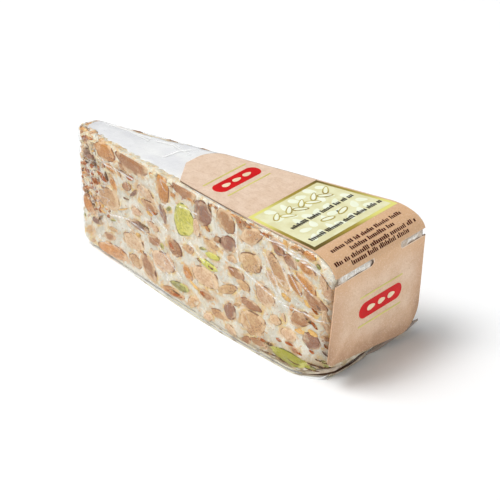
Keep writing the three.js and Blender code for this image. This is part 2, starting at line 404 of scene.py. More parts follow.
class Skin:
    """Closed skin of the wedge: points, the same points before sagging, normals and faces."""

    def __init__(self, step, columns):
        x = stations(step)
        foot = BASE_ROUND * (1 - np.cos(np.linspace(0, math.pi / 2, 7)))[:-1]
        top = TOP_ROUND * (1 - np.cos(np.linspace(0, math.pi / 2, 5)))[:-1]
        low, high = bottom_z(x)[:, None], top_z(x)[:, None]
        upright = np.linspace(0, 1, int((HEIGHT - BASE_ROUND - TOP_ROUND) / step))
        middle = lerp(low + BASE_ROUND, high - TOP_ROUND, upright)
        z = np.concatenate([low + foot, middle, high - top[::-1]], axis=1)
        grid_x = np.broadcast_to(x[:, None], z.shape)
        near = np.stack([grid_x, -side_half(grid_x, z, NEAR), z], axis=-1)
        far = np.stack([grid_x, side_half(grid_x, z, FAR), z], axis=-1)
        share = np.linspace(0, 1, columns + 1)[1:-1][:, None]
        over = lerp(near[:, -1][:, None], far[:, -1][:, None], share)
        under = lerp(far[:, 0][:, None], near[:, 0][:, None], share)
        ring = np.concatenate([near, over, far[:, ::-1], under], axis=1)
        rows, around = ring.shape[:2]
        height = z.shape[1]
        blocks = [ring.reshape(-1, 3)]
        self.faces = grid_faces(rows, around, closed=True)
        for end in (0, rows - 1):
            inner = lerp(near[end, 1:-1][:, None], far[end, 1:-1][:, None], share)
            start = sum(len(block) for block in blocks)
            blocks.append(inner.reshape(-1, 3))
            at = self.cap_grid(end * around, height, columns, start)
            self.faces += self.cap_faces(at, outward=end > 0)
        self.plain = np.concatenate(blocks)
        self.points = sag(*self.plain.T)
        self.normals = vertex_normals(self.points, self.faces)

    @staticmethod
    def cap_grid(first, height, columns, start):
        """Indices of an end's points, foot to top and near to far."""
        at = np.zeros((height, columns + 1), int)
        at[:, 0] = first + np.arange(height)
        at[-1, 1:-1] = first + height + np.arange(columns - 1)
        at[:, -1] = first + 2 * height + columns - 2 - np.arange(height)
        at[0, 1:-1] = first + 2 * height + 2 * columns - 3 - np.arange(columns - 1)
        at[1:-1, 1:-1] = start + np.arange((height - 2) * (columns - 1)).reshape(height - 2, -1)
        return at

    @staticmethod
    def cap_faces(at, outward):
        """Faces of an end; outward when its grid is seen from outside."""
        faces = []
        for r in range(at.shape[0] - 1):
            for c in range(at.shape[1] - 1):
                face = (at[r, c], at[r, c + 1], at[r + 1, c + 1], at[r + 1, c])
                faces.append(tuple(int(i) for i in (face if outward else face[::-1])))
        return faces


# ---------------------------------------------------------------- materials


def rgb(red, green, blue):
    """A colour given in 8-bit display values, as the linear values a shader takes."""
    shares = np.array([red, green, blue]) / 255
    linear = np.where(shares <= 0.04045, shares / 12.92, ((shares + 0.055) / 1.055) ** 2.4)
    return tuple(float(value) for value in linear)


class Shader:
    """A material's node tree, built with short calls. Colours are 8-bit display values."""

    def __init__(self, name):
        self.material = bpy.data.materials.new(name)
        self.material.use_nodes = True
        self.nodes = self.material.node_tree.nodes
        self.links = self.material.node_tree.links
        self.nodes.clear()
        self.output = self.nodes.new("ShaderNodeOutputMaterial")
        self.place = self.nodes.new("ShaderNodeTexCoord").outputs["Object"]
        self.colour = (255, 255, 255)

    def node(self, kind, inputs=None, **settings):
        """Makes a node, with values or other nodes' outputs for its inputs."""
        made = self.nodes.new("ShaderNode" + kind)
        for key, value in settings.items():
            setattr(made, key, value)
        for key, value in (inputs or {}).items():
            self.put(made.inputs[key], value)
        return made

    def put(self, socket, value):
        """Links or sets one input."""
        if isinstance(value, bpy.types.NodeSocket):
            self.links.new(value, socket)
        elif socket.type == "RGBA":
            socket.default_value = (*rgb(*value), 1)
        else:
            socket.default_value = value

    def noise(self, size, detail=3, warp=0.0, stretch=(1, 1, 1), place=None):
        """Noise from 0 to 1 with features of about the given size in millimetres."""
        place = self.place if place is None else place
        scaled = self.node("VectorMath", {0: place, 1: stretch}, operation="MULTIPLY")
        inputs = {"Vector": scaled.outputs[0], "Scale": 1 / (size * MM), "Detail": detail,
                  "Distortion": warp}
        return self.node("TexNoise", inputs).outputs["Fac"]

    def ramp(self, value, low, high):
        """0 below low, 1 above high, smooth between."""
        inputs = {"Value": value, "From Min": low, "From Max": high}
        return self.node("MapRange", inputs, interpolation_type="SMOOTHSTEP").outputs["Result"]

    def patches(self, size, low, high, detail=3, warp=0.0, stretch=(1, 1, 1)):
        """1 in soft-edged blotches of noise of about the given size, 0 between them."""
        return self.ramp(self.noise(size, detail, warp, stretch), low, high)

    def math(self, operation, a, b=0.0):
        return self.node("Math", {0: a, 1: b}, operation=operation).outputs[0]

    def times(self, a, b):
        return self.math("MULTIPLY", a, b)

    def plus(self, a, b):
        return self.math("ADD", a, b)

    def mix(self, share, a, b):
        return self.node("Mix", {0: share, 6: a, 7: b}, data_type="RGBA").outputs[2]

    def paint(self, strength, share, colour):
        """Lays a colour over what is painted so far, where the share is high."""
        self.colour = self.mix(self.times(share, strength), self.colour, colour)

    def ridges(self, size, width, warp, stretch):
        """1 along thin winding lines, 0 between them."""
        off = self.math("ABSOLUTE", self.math("SUBTRACT", self.noise(size, 2, warp, stretch), 0.5))
        return self.ramp(off, width, 0.0)

    def attribute(self, name, output="Fac"):
        return self.node("Attribute", attribute_name=name).outputs[output]

    def rise(self, name, low, high):
        """0 to 1 while the attribute goes from low to high."""
        return self.ramp(self.attribute(name), low, high)

    def bump(self, height, strength, distance, under=None):
        inputs = {"Height": height, "Strength": strength, "Distance": distance * MM}
        if under is not None:
            inputs["Normal"] = under
        return self.node("Bump", inputs).outputs["Normal"]

    def solid(self, roughness, normal=None, specular=0.5):
        """Opaque shader in the painted colour."""
        inputs = {"Base Color": self.colour, "Roughness": roughness, "Specular IOR Level": specular}
        if normal is not None:
            inputs["Normal"] = normal
        return self.node("BsdfPrincipled", inputs).outputs[0]

    def show(self, shader):
        self.links.new(shader, self.output.inputs["Surface"])
        return self.material


def matrix_material():
    """Whipped nougat: cream and glassy grey, honey smears, crumbs, and a crushed, toasted tip."""
    m = Shader("nougat_matrix")
    m.colour = m.mix(m.patches(8, 0.4, 0.62), (214, 211, 198), (229, 224, 210))
    m.paint(0.6, m.patches(4.2, 0.5, 0.6, 3, 0.5), (192, 186, 168))
    m.paint(0.3, m.patches(5.0, 0.54, 0.66, 4, 0.8), (240, 222, 166))
    honey = m.patches(3.6, 0.62, 0.69, 5, 1.2, (0.8, 1, 1.2))
    beside = m.times(m.attribute("halo"), m.patches(3.0, 0.47, 0.58, 4, 0.6))
    m.paint(0.75, m.math("MAXIMUM", honey, beside), (214, 158, 76))
    gold = m.times(m.attribute("halo"), m.patches(4.0, 0.47, 0.37, 3, 0.8))
    m.paint(0.7, gold, (226, 190, 96))
    # Olive-brown low on the near side at the wide end: painted shade and film reflection.
    painted_foot_shade = m.times(m.attribute("foot"), m.patches(3.4, 0.32, 0.54, 4, 0.6))
    m.paint(0.8, painted_foot_shade, (160, 132, 82))
    m.paint(0.85, m.patches(1.8, 0.65, 0.7, 4, 0.7), (164, 86, 34))
    m.paint(0.5, m.times(m.attribute("edge"), m.patches(2.2, 0.42, 0.54, 4)), (236, 230, 206))
    m.paint(0.3, m.patches(0.6, 0.48, 0.62, 2), (192, 170, 128))
    crust = m.times(m.attribute("edge"), m.rise("along", 70, 40))
    m.paint(0.5, m.times(crust, m.patches(2.0, 0.52, 0.6, 4, 0.6)), (228, 184, 96))
    crushed = m.attribute("crushed")
    m.paint(0.8, m.times(crushed, m.patches(2.2, 0.5, 0.58, 4, 0.8)), (206, 138, 60))
    speck = m.patches(1.4, 0.56, 0.61, 3, 0.8, (1, 1, 0.6))
    m.paint(1.0, m.times(crushed, speck), (100, 44, 22))
    normal = m.bump(m.noise(1.3, 4), 0.6, 0.6, m.bump(m.noise(0.45, 3), 0.5, 0.2))
    return m.show(m.solid(0.5, normal))


def nut_material(name, deep, pale, pore, skin):
    """A nut's cut face: grain, blotches, pores towards one end, nougat smears and skin at the edge."""
    m = Shader(name)
    tone = m.attribute("tone", "Color")
    rim = m.attribute("rim")
    own = m.node("CombineXYZ", {0: m.attribute("run"), 1: m.attribute("across")}).outputs[0]
    grain = m.noise(1.4, 4, 0.5, (0.45, 1, 1), own)
    fine = m.noise(0.7, 2)
    deeper = m.mix(0.5, tone, deep)
    m.colour = m.mix(m.ramp(grain, 0.3, 0.6), deeper, tone)
    m.paint(0.65, m.patches(3.2, 0.52, 0.66, 4, 0.8), deeper)
    m.paint(0.5, m.patches(4.2, 0.52, 0.7), pale)
    m.paint(0.4, m.patches(0.8, 0.5, 0.6), deep)
    m.paint(0.3, m.patches(0.5, 0.46, 0.6, 2), deeper)
    pored = m.ramp(m.plus(m.attribute("lean"), m.times(grain, 1.4)), 0.5, 1.2)
    pored = m.times(pored, m.attribute("pores"))
    m.paint(0.55, pored, deeper)
    m.paint(0.95, m.times(pored, m.ramp(fine, 0.57, 0.62)), pore)
    band = m.times(m.ramp(rim, 0.6, 0.85), m.patches(5, 0.56, 0.44))
    m.paint(0.5, band, pale)
    edge = m.times(m.ramp(rim, 0.88, 0.96), m.patches(5, 0.47, 0.53))
    m.paint(0.8, edge, skin)
    smear = m.ramp(m.plus(m.noise(3.2, 4, warp=0.8), m.attribute("smear")), 0.76, 0.92)
    m.paint(0.9, smear, (232, 228, 210))
    normal = m.bump(grain, 0.5, 0.35, m.bump(fine, 0.4, 0.2))
    return m.show(m.solid(0.45, normal, 0.35))


def shred_material():
    """Toasted shreds and crumbs of nougat, each of its own tone, a little darker in places."""
    m = Shader("shred")
    m.colour = m.attribute("tone", "Color")
    m.paint(0.3, m.patches(1.0, 0.52, 0.62), (122, 68, 30))
    m.paint(0.5, m.patches(1.4, 0.52, 0.62), (222, 186, 130))
    normal = m.bump(m.noise(0.8, 3), 0.5, 0.3)
    return m.show(m.solid(0.55, normal, 0.12))


def wafer_material():
    """Thin rice-paper wafer, greyish white with faint blotches, and painted shade near the tip."""
    m = Shader("wafer")
    blotch = m.noise(9, 3, stretch=(0.5, 1, 1))
    m.colour = m.mix(m.ramp(blotch, 0.35, 0.7), (240, 240, 238), (226, 226, 228))
    # Bluish grey blotches towards the tip: painted shade and dull reflection of the film over it.
    tip = m.times(m.rise("along", 46, 20), m.ramp(blotch, 0.6, 0.4))
    m.paint(0.65, tip, (206, 206, 211))
    normal = m.bump(m.noise(0.9, 3), 0.25, 0.1)
    return m.show(m.solid(0.6, normal))


def film_material(name, haze_colour, least_haze):
    """Clear glossy film, crinkled, that turns milky along its creases, the white partly painted highlight.
    """
    m = Shader(name)
    crinkle = m.times(m.ridges(16, 0.01, 0.4, (0.7, 1, 1.2)), m.attribute("crinkled"))
    waves = m.bump(m.noise(7, 2, warp=0.6), 0.6, 0.8)
    normal = m.bump(crinkle, 0.6, 0.3, m.bump(m.noise(2.2, 3, warp=0.6), 0.3, 0.12, waves))
    gloss = m.node("BsdfAnisotropic", {"Roughness": 0.12, "Normal": normal}).outputs[0]
    clear = m.node("BsdfTransparent").outputs[0]
    slope = m.node("LayerWeight", {"Blend": 0.5, "Normal": normal}).outputs["Facing"]
    share = m.plus(m.times(m.math("POWER", slope, 5.0), 0.9), 0.02)
    glazed = m.node("MixShader", {0: share, 1: clear, 2: gloss}).outputs[0]
    veil = m.times(m.patches(11, 0.56, 0.75, warp=0.5), 0.08)
    # White along creases and crinkle lines: milky film, and partly painted highlight.
    lines = m.times(m.times(crinkle, m.patches(14, 0.5, 0.62, 2)), 0.3)
    crease_glint = m.math("MAXIMUM", m.times(m.attribute("crease_glint"), 0.85), lines)
    milk = m.math("MAXIMUM", m.plus(veil, least_haze), crease_glint)
    m.colour = haze_colour
    return m.show(m.node("MixShader", {0: milk, 1: glazed, 2: m.solid(0.4, normal)}).outputs[0])


def card_material():
    """Uncoated peach card, mottled, darker towards its lower end and the edges there, partly painted shade.
    """
    m = Shader("card")
    fibre = m.noise(0.9, 3, stretch=(0.35, 1, 1))
    m.colour = m.mix(m.patches(4, 0.3, 0.72, 4), (218, 191, 166), (229, 205, 183))
    m.paint(0.7, m.rise("along", 90, 150), (214, 178, 144))
    hangs = m.rise("along", 158, 172)
    # Lighter blotches on the hanging end: paper mottling, and partly painted light on that face.
    m.paint(0.6, m.times(hangs, m.patches(9, 0.4, 0.65, 5)), (230, 205, 181))
    # Darker towards the edges of the hanging end.
    darker_near_edges = m.ramp(m.plus(m.attribute("inside"), m.times(m.noise(6, 4), 14)), 19, 7)
    m.paint(0.7, m.times(darker_near_edges, hangs), (200, 158, 124))
    # Painted shade along the edges of the lowest part of the hanging end.
    low_edge_shade = m.ramp(m.plus(m.attribute("inside"), m.times(m.noise(5, 3), 8)), 11, 3)
    m.paint(0.6, m.times(low_edge_shade, m.rise("along", 178, 198)), (158, 120, 92))
    m.paint(0.65, m.times(m.rise("along", 136, 150), m.rise("along", 176, 160)), (217, 171, 126))
    m.paint(0.2, m.ramp(fibre, 0.5, 0.7), (184, 140, 108))
    m.paint(0.16, m.patches(0.5, 0.5, 0.62, 2), (168, 122, 90))
    m.paint(0.3, m.patches(0.6, 0.44, 0.34, 2), (240, 216, 196))
    # Dark brown on the cut edges towards the tip: painted shadow line under the card's near edge.
    m.paint(0.8, m.times(m.rise("inside", 0.35, 0.05), m.rise("along", 116, 100)), (112, 78, 54))
    normal = m.bump(fibre, 0.12, 0.06)
    return m.show(m.solid(0.55, normal, 0.25))


def ink_material(name, colour, other, size, roughness=0.45):
    """Printed ink, varying slightly between two tones."""
    m = Shader(name)
    m.colour = m.mix(m.patches(size, 0.35, 0.65), colour, other)
    normal = m.bump(m.noise(0.8, 3), 0.08, 0.04)
    return m.show(m.solid(roughness, normal, 0.2))


def gold_material():
    """Gold ink that runs from pale yellow to dark olive with the attribute shade."""
    m = Shader("gold_ink")
    shade = m.plus(m.attribute("shade"), m.times(m.noise(12, 2), 0.3))
    m.colour = m.mix(m.ramp(shade, 0.3, 0.7), (226, 220, 124), (160, 138, 48))
    m.paint(1, m.ramp(shade, 0.75, 1.05), (98, 80, 22))
    normal = m.bump(m.noise(0.8, 3), 0.08, 0.04)
    return m.show(m.solid(0.35, normal))


def seam_material():
    """Pressed edge of the film: straw coloured, with brown stretches."""
    m = Shader("seam")
    dashes = m.patches(7, 0.54, 0.6, 2, stretch=(1, 0.4, 0))
    m.colour = (216, 210, 184)
    m.paint(0.7, dashes, (126, 96, 58))
    normal = m.bump(m.noise(0.8, 3), 0.2, 0.08)
    return m.show(m.solid(0.35, normal))


def gather_material():
    """White crumpled film in the slots of the card, grey-brown at its edges as painted shadow."""
    m = Shader("gather")
    crumple = m.noise(1.6, 4, warp=1.5)
    edge = m.rise("shade", 0.62, 1.0)
    m.colour = m.mix(m.ramp(crumple, 0.4, 0.6), (208, 198, 184), (240, 237, 230))
    # Grey-brown at the slots' edges: painted shadow of the card's cut edges.
    m.paint(0.6, edge, (168, 138, 108))
    normal = m.bump(crumple, 0.7, 0.5)
    return m.show(m.solid(0.25, normal))


def floor_material():
    """Matt white paper."""
    m = Shader("floor")
    m.colour = m.mix(m.noise(60, 2), (250, 250, 250), (253, 253, 253))
    return m.show(m.solid(0.9))


# ---------------------------------------------------------------- nougat and its nuts

# Tones of nuts, shreds and crumbs, and of a few marks of painted shade, in 8-bit display values.
TONES = {
    "pale": (226, 197, 160),
    "tan": (208, 174, 127),
    "orange": (201, 140, 66),
    "brown": (167, 126, 88),
    "dark": (132, 106, 90),
    "grey": (104, 92, 84),
    "gash": (162, 84, 26),
    # Shell: the brown of nut skins, also used for dark lines of painted shade in the film's folds.
    "shell_and_fold_shade": (102, 72, 48),
    "honey": (220, 176, 104),
    "crumb": (220, 206, 174),
    "green": (218, 210, 96),
    # Moss: pistachio green, partly darkened as painted shade.
    "moss": (168, 162, 44),
    "olive": (144, 132, 84),
}
# Nuts that show on the near side. Each is a pixel of the photograph at either end of its length,
# and its width in pixels.
NEAR_NUTS = {
    "pale": [
        (192, 267, 217, 287, 16), (194, 218, 198, 237, 6), (125, 233, 143, 251, 13),
        (137, 185, 154, 203, 8), (256, 283, 271, 307, 14), (152, 251, 173, 272, 16),
        (281, 329, 295, 341, 10), (267, 270, 277, 286, 7), (131, 208, 141, 216, 6),
        (318, 275, 332, 303, 9), (323, 308, 329, 334, 8),
    ],
    "tan": [
        (101, 188, 117, 210, 16), (240, 237, 263, 236, 17),
        (241, 253, 259, 272, 18), (241, 312, 263, 334, 20), (217, 290, 237, 289, 10),
        (266, 250, 288, 290, 11), (236, 278, 249, 292, 7), (204, 239, 218, 251, 6),
        (130, 254, 141, 269, 8), (227, 256, 236, 263, 6),
        (108, 227, 117, 232, 4), (211, 309, 226, 320, 7),
    ],
    "orange": [
        (159, 171, 165, 204, 11.5), (95, 142, 114, 162, 13), (98, 243, 128, 260, 12),
        (295, 259, 315, 277, 9), (288, 274, 301, 296, 8), (296, 273, 315, 295, 10),
        (82, 195, 94, 215, 8), (161, 286, 184, 299, 7), (183, 264, 191, 281, 6),
        (140, 249, 143, 254, 3), (105, 163, 115, 174, 4), (186, 197, 194, 203, 3),
        (205, 226, 209, 232, 3), (170, 193, 175, 198, 4),
    ],
    "honey": [
        (304, 300, 310, 308, 3), (281, 293, 290, 302, 3.5), (295, 329, 304, 334, 4),
        (308, 330, 317, 337, 4), (190, 281, 199, 291, 2), (136, 233, 140, 237, 3),
        (118, 210, 127, 209, 1.6), (283, 236, 288, 248, 3), (147, 211, 152, 216, 2),
    ],
    "brown": [
        (114, 149, 147, 175, 16), (172, 183, 194, 199, 11), (218, 208, 233, 234, 14),
        (142, 253, 155, 281, 10),
        (167, 238, 180, 257, 11), (148, 236, 160, 246, 8), (304, 291, 323, 314, 11),
        (290, 318, 314, 321, 16), (239, 298, 261, 312, 8), (140, 199, 157, 214, 8),
        (227, 268, 244, 280, 8), (199, 290, 213, 301, 7), (284, 254, 296, 270, 8),
        (104, 233, 115, 240, 7), (250, 338, 266, 347, 6),
        (291, 348, 299, 354, 5), (214, 237, 220, 243, 6), (271, 237, 283, 256, 9),
        (79, 130, 88, 143, 6), (118, 163, 126, 172, 3),
    ],
    "dark": [
        (197, 200, 207, 226, 17), (222, 237, 233, 251, 14), (302, 334, 319, 349, 13),
        (226, 303, 233, 320, 11), (159, 204, 166, 225, 5), (274, 246, 281, 256, 6),
        (83, 147, 91, 160, 7),
    ],
    "grey": [
        (129, 220, 149, 232, 7), (129, 197, 137, 191, 5), (92, 218, 101, 224, 6),
        # The thin grey stroke at (114, 167) below is the dark line of a film crease: painted shade.
        (315, 303, 322, 312, 4), (160, 204, 162, 212, 2.5), (114, 167, 133, 178, 0.8),
    ],
    "gash": [
        (166, 289, 182, 298, 3), (169, 241, 175, 251, 3.2), (126, 176, 133, 180, 4),
        (97, 171, 103, 177, 3), (101, 176, 107, 182, 3.6), (85, 186, 92, 190, 3.8),
        (85, 131, 92, 135, 3), (200, 291, 205, 296, 3), (82, 133, 86, 140, 3.4),
        (257, 338, 266, 342, 2.6), (311, 321, 317, 330, 2.4), (151, 211, 156, 215, 2.8),
        (90, 164, 94, 170, 2.6), (95, 178, 98, 186, 2.2), (80, 160, 83, 166, 2.6),
        (285, 342, 292, 346, 2), (296, 352, 302, 356, 2), (309, 350, 314, 354, 2),
        (324, 345, 328, 349, 2), (276, 338, 281, 342, 2), (312, 308, 318, 315, 1.6),
    ],
    "shell_and_fold_shade": [
        (305, 317, 313, 325, 2.6), (265, 341, 272, 346, 2.2), (139, 223, 149, 229, 1.4),
        (99, 221, 101, 216, 1.2), (197, 258, 202, 263, 1.8), (208, 265, 214, 270, 1.8),
        (123, 197, 128, 200, 1), (208, 203, 211, 213, 1.8), (220, 238, 221, 243, 1.6),
        # The three strokes below, by the tip, are dark wrinkles of the film: painted shade.
        (83, 148, 90, 149, 1), (84, 152, 91, 154, 1), (83, 157, 89, 160, 1.2),
        (171, 289, 180, 295, 1.2), (279, 247, 280, 251, 2),
        # Strokes below that lie near the foot, at y from 352 to 373, are dark lines in the film's folds:
        # painted shade.
        (304, 369, 324, 373, 1), (306, 363, 322, 368, 0.7), (315, 360, 330, 365, 0.7),
        (286, 358, 300, 366, 0.8), (262, 352, 276, 358, 0.8), (276, 360, 290, 368, 0.8),
        (318, 368, 331, 368, 1), (327, 282, 328, 291, 1.2), (322, 352, 329, 358, 1),
    ],
    "crumb": [
        (79, 128, 86, 125, 3.5), (88, 139, 92, 149, 2.6), (87, 168, 96, 169, 2.6),
        (95, 156, 101, 162, 3), (88, 187, 95, 194, 3), (84, 176, 88, 182, 2.2),
        (97, 184, 102, 190, 2.2), (81, 160, 82, 168, 1.8), (104, 168, 110, 173, 2.2),
        (323, 300, 329, 306, 3), (326, 316, 330, 326, 3),
    ],
    "green": [(178, 203, 188, 236, 19), (205, 253, 219, 260, 6), (199, 259, 217, 272, 6)],
    # The last moss bit below lies in the film's folds at the foot: painted olive reflection.
    "moss": [(270, 347, 304, 368, 11), (182, 232, 189, 236, 3), (303, 365, 313, 369, 3)],
    "olive": [
        (170, 281, 188, 292, 7), (166, 210, 171, 208, 5), (199, 248, 206, 250, 2.5),
        (160, 243, 163, 249, 3), (110, 220, 115, 221, 2), (295, 259, 300, 262, 4),
        # The last two olive bits below lie in the film's folds at the foot: painted olive-brown reflection.
        (316, 264, 320, 270, 3), (307, 366, 316, 371, 3), (321, 361, 329, 369, 4),
    ],
}
NUT_CROWN, NUT_RIM_LIFT, NUT_DEPTH = 0.45, -0.22, 1.4
NUT_POINTS = 30
NUT_RINGS = np.array([0.22, 0.42, 0.6, 0.74, 0.85, 0.93, 0.98, 1.0])
CHIP_LIFT, HALO, COVER = 0.25, 1.1, 0.94
WAFER_THICKNESS = 0.28
WAFER_BARE = (-82, -60)
PISTACHIO_TONES = ("green", "moss", "olive")
CHIP_TONES = ("gash", "shell_and_fold_shade", "honey", "crumb")

# Seeded nuts, one layer after the other, the larger ones first. Smear is how much nougat covers
# them, and gap how far they keep from each other.
KINDS = ["tan", "tan", "orange", "brown", "pale", "brown", "dark", "green"]
FILLERS = ["tan", "orange", "pale", "brown"]
CHIPS = ["tan", "orange", "pale", "brown", "orange", "dark", "olive"]
CRUSHED = ["gash", "orange", "gash", "shell_and_fold_shade", "crumb", "crumb", "honey", "brown"]
FAR_LAYERS = [
    dict(tones=KINDS, tries=1500, long=(13, 20), short=(6.5, 9), gap=1.2, smear=(0, 0.2), seed=3),
    dict(tones=KINDS, tries=1500, long=(6, 11), short=(3.5, 5), gap=0.8, smear=(0, 0.3), seed=4),
    dict(tones=CHIPS, tries=500, long=(2.2, 5), short=(1.4, 2.6), gap=0.5, smear=(0.05, 0.4), seed=6),
]
NEAR_LAYERS = [
    dict(tones=FILLERS, tries=900, long=(6, 10), short=(3.5, 5), gap=0.9, smear=(0.05, 0.22), seed=7),
    dict(tones=CHIPS, tries=170, long=(2.2, 5), short=(1.4, 2.6), gap=0.8, smear=(0.05, 0.25), seed=5),
]
TIP_LAYER = dict(tones=CRUSHED, tries=500, long=(1.4, 4), short=(0.7, 1.5), gap=0.1, smear=(0, 0.1), seed=8)
TIP_RUN, TIP_LOWEST = (1.5, 24), 19

# Crumbs along the near top edge: those by the tip, and the smaller ones beside the card.
EDGE_BY_TIP = ["crumb"] * 7 + ["pale", "honey", "orange", "brown"]
EDGE_BY_CARD = ["brown", "brown", "gash", "orange", "pale"]
EDGE_TRIES, EDGE_RUN, EDGE_DROP = 170, (1, 142), (0.4, 2.6)


class Nut:
    """An oval on a side, as X and Z with the 2 by 2 matrix that maps a unit disc onto it."""

    def __init__(self, tone, side, centre, spread, seed, smear=0.0):
        self.tone, self.side, self.centre, self.spread = tone, side, np.array(centre), spread
        self.seed, self.smear = seed, smear

    @classmethod
    def from_photo(cls, tone, ends, seed):
        x0, y0, x1, y1, width = ends
        centre, turn = near_side_at(((x0 + x1) / 2, (y0 + y1) / 2))
        half = np.array([x1 - x0, y1 - y0]) / 2
        aside = np.array([-half[1], half[0]]) / np.linalg.norm(half) * width / 2
        return cls(tone, NEAR, centre, np.linalg.solve(turn, np.column_stack([half, aside])), seed)


def nut_surface(nut):
    """Points, faces, rim shares and flat places of a low crown, closed below the surface."""
    random = np.random.default_rng(nut.seed)
    turn = np.linspace(0, 2 * math.pi, NUT_POINTS, endpoint=False)
    taper = random.uniform(-0.3, 0.3)
    point = random.uniform(0, 0.35)
    wobble = 1.02 + sum(
        random.uniform(0.005, 0.04) * np.cos(k * turn + random.uniform(0, 6)) for k in range(2, 8)
    )
    wide = np.sin(turn) * np.abs(np.sin(turn)) ** point * (1 + taper * np.cos(turn))
    disc = np.stack([np.cos(turn) * wobble, wide * wobble], 1)
    middle = np.zeros((1, 2))
    flat = np.concatenate([middle] + [disc * share for share in NUT_RINGS] + [disc * 1.02, middle])
    rims = np.concatenate([[0], np.repeat(NUT_RINGS, NUT_POINTS), np.ones(NUT_POINTS), [1]])
    lift = NUT_CROWN * (1 - rims**4) + NUT_RIM_LIFT
    if nut.tone in CHIP_TONES:
        lift = lift + CHIP_LIFT
    place = nut.centre + flat @ nut.spread.T
    x = np.clip(place[:, 0], 0.6, LENGTH - 0.5)
    z = np.clip(place[:, 1], bottom_z(x) + 0.6, top_z(x) - 0.4)
    base = side_point(x, z, nut.side)
    lift = lift + 0.16 * noise(base, 1.6, 5) + 0.2 * noise(base, 5, 6)
    lift[-NUT_POINTS - 1:] = -NUT_DEPTH
    points = base + side_normal(x, z, nut.side) * lift[:, None]
    faces = disc_faces(NUT_POINTS, len(NUT_RINGS) + 1)
    last = len(points) - 1
    first = last - NUT_POINTS
    faces += [(last, first + (i + 1) % NUT_POINTS, first + i) for i in range(NUT_POINTS)]
    if nut.side == FAR:
        faces = [face[::-1] for face in faces]
    return points, faces, rims, flat * np.linalg.norm(nut.spread, axis=0)


def add_nuts(name, nuts, material):
    """Nuts as one piece, each with its own tone, grain and pores."""
    points, faces, tones, rows = [], [], [], []
    start = 0
    for nut in nuts:
        random = np.random.default_rng(nut.seed + 1000)
        own, own_faces, rims, flat = nut_surface(nut)
        tone = np.array(rgb(*TONES[nut.tone])) * random.uniform(0.88, 1.12)
        tone *= random.uniform(0.97, 1.03, 3)
        points.append(own)
        tones.append(np.tile(np.clip(tone, 0, 1), (len(own), 1)))
        rows.append({
            "rim": rims,
            "run": (flat[:, 0] + random.uniform(0, 500)) * MM,
            "across": flat[:, 1] * MM,
            "lean": flat[:, 0] / abs(flat[:, 0]).max() * random.choice((-1, 1)),
            "smear": np.full(len(own), nut.smear),
            "pores": np.full(len(own), 0.15 if nut.tone == "pale" else random.uniform(0.5, 1)),
        })
        faces += shifted(own_faces, start)
        start += len(own)
    values = {key: np.concatenate([row[key] for row in rows]) for key in rows[0]}
    piece = add_mesh(name, np.concatenate(points), faces, material, np.concatenate(tones), values)
    dress(piece, "wrapped_nougat", "wrapped_nougat")


def near_nuts():
    """The named nuts of the near side."""
    nuts = []
    for tone, places in NEAR_NUTS.items():
        for ends in places:
            nuts.append(Nut.from_photo(tone, ends, seed=len(nuts)))
    return nuts


def reach(spreads, ways):
    """How far ovals reach from their centres along unit ways."""
    return 1 / np.linalg.norm(np.linalg.solve(spreads, ways[..., None])[..., 0], axis=-1)


def scattered(side, others, tones, tries, long, short, gap, smear, seed, run=(1.5, LENGTH - 3)):
    """Nuts at random places on a side, a gap clear of each other and of others."""
    random = np.random.default_rng(seed)
    nuts = list(others)
    for k in range(tries):
        x = random.uniform(*run)
        z = random.uniform(bottom_z(x) + 1.5, top_z(x) - 1.5)
        angle = random.uniform(-1.3, 0.7)
        half = np.array([random.uniform(*long), random.uniform(*short)]) / 2
        turn = np.array([[math.cos(angle), -math.sin(angle)], [math.sin(angle), math.cos(angle)]])
        tone = str(random.choice(tones))
        nut = Nut(tone, side, (x, z), turn * half, seed * 10000 + k, random.uniform(*smear))
        if nuts:
            ways = np.array([other.centre for other in nuts]) - nut.centre
            apart = np.linalg.norm(ways, axis=1)
            ways /= apart[:, None]
            spreads = np.array([other.spread for other in nuts])
            room = apart - reach(spreads, ways) - reach(nut.spread[None], ways)
            if room.min() < gap:
                continue
        nuts.append(nut)
    return nuts[len(others):]


def edge_crumbs(nuts):
    """Crumbs of nougat and slivers of nut along the near top edge, beside the nuts."""
    random = np.random.default_rng(9)
    crumbs = []
    for k in range(EDGE_TRIES):
        place = np.array([random.uniform(*EDGE_RUN), 0])
        place[1] = top_z(place[0]) - random.uniform(*EDGE_DROP)
        tip = place[0] < CARD_START[NEAR]
        half = np.array([random.uniform(0.9, 2.4), random.uniform(0.4, 0.8)]) * (1 if tip else 0.7)
        tone = str(random.choice(EDGE_BY_TIP if tip else EDGE_BY_CARD))
        away = [np.linalg.norm(np.linalg.solve(nut.spread, place - nut.centre)) for nut in nuts]
        if min(away) > 1.15:
            crumbs.append(Nut(tone, NEAR, place, np.diag(half), 90000 + k))
    return crumbs


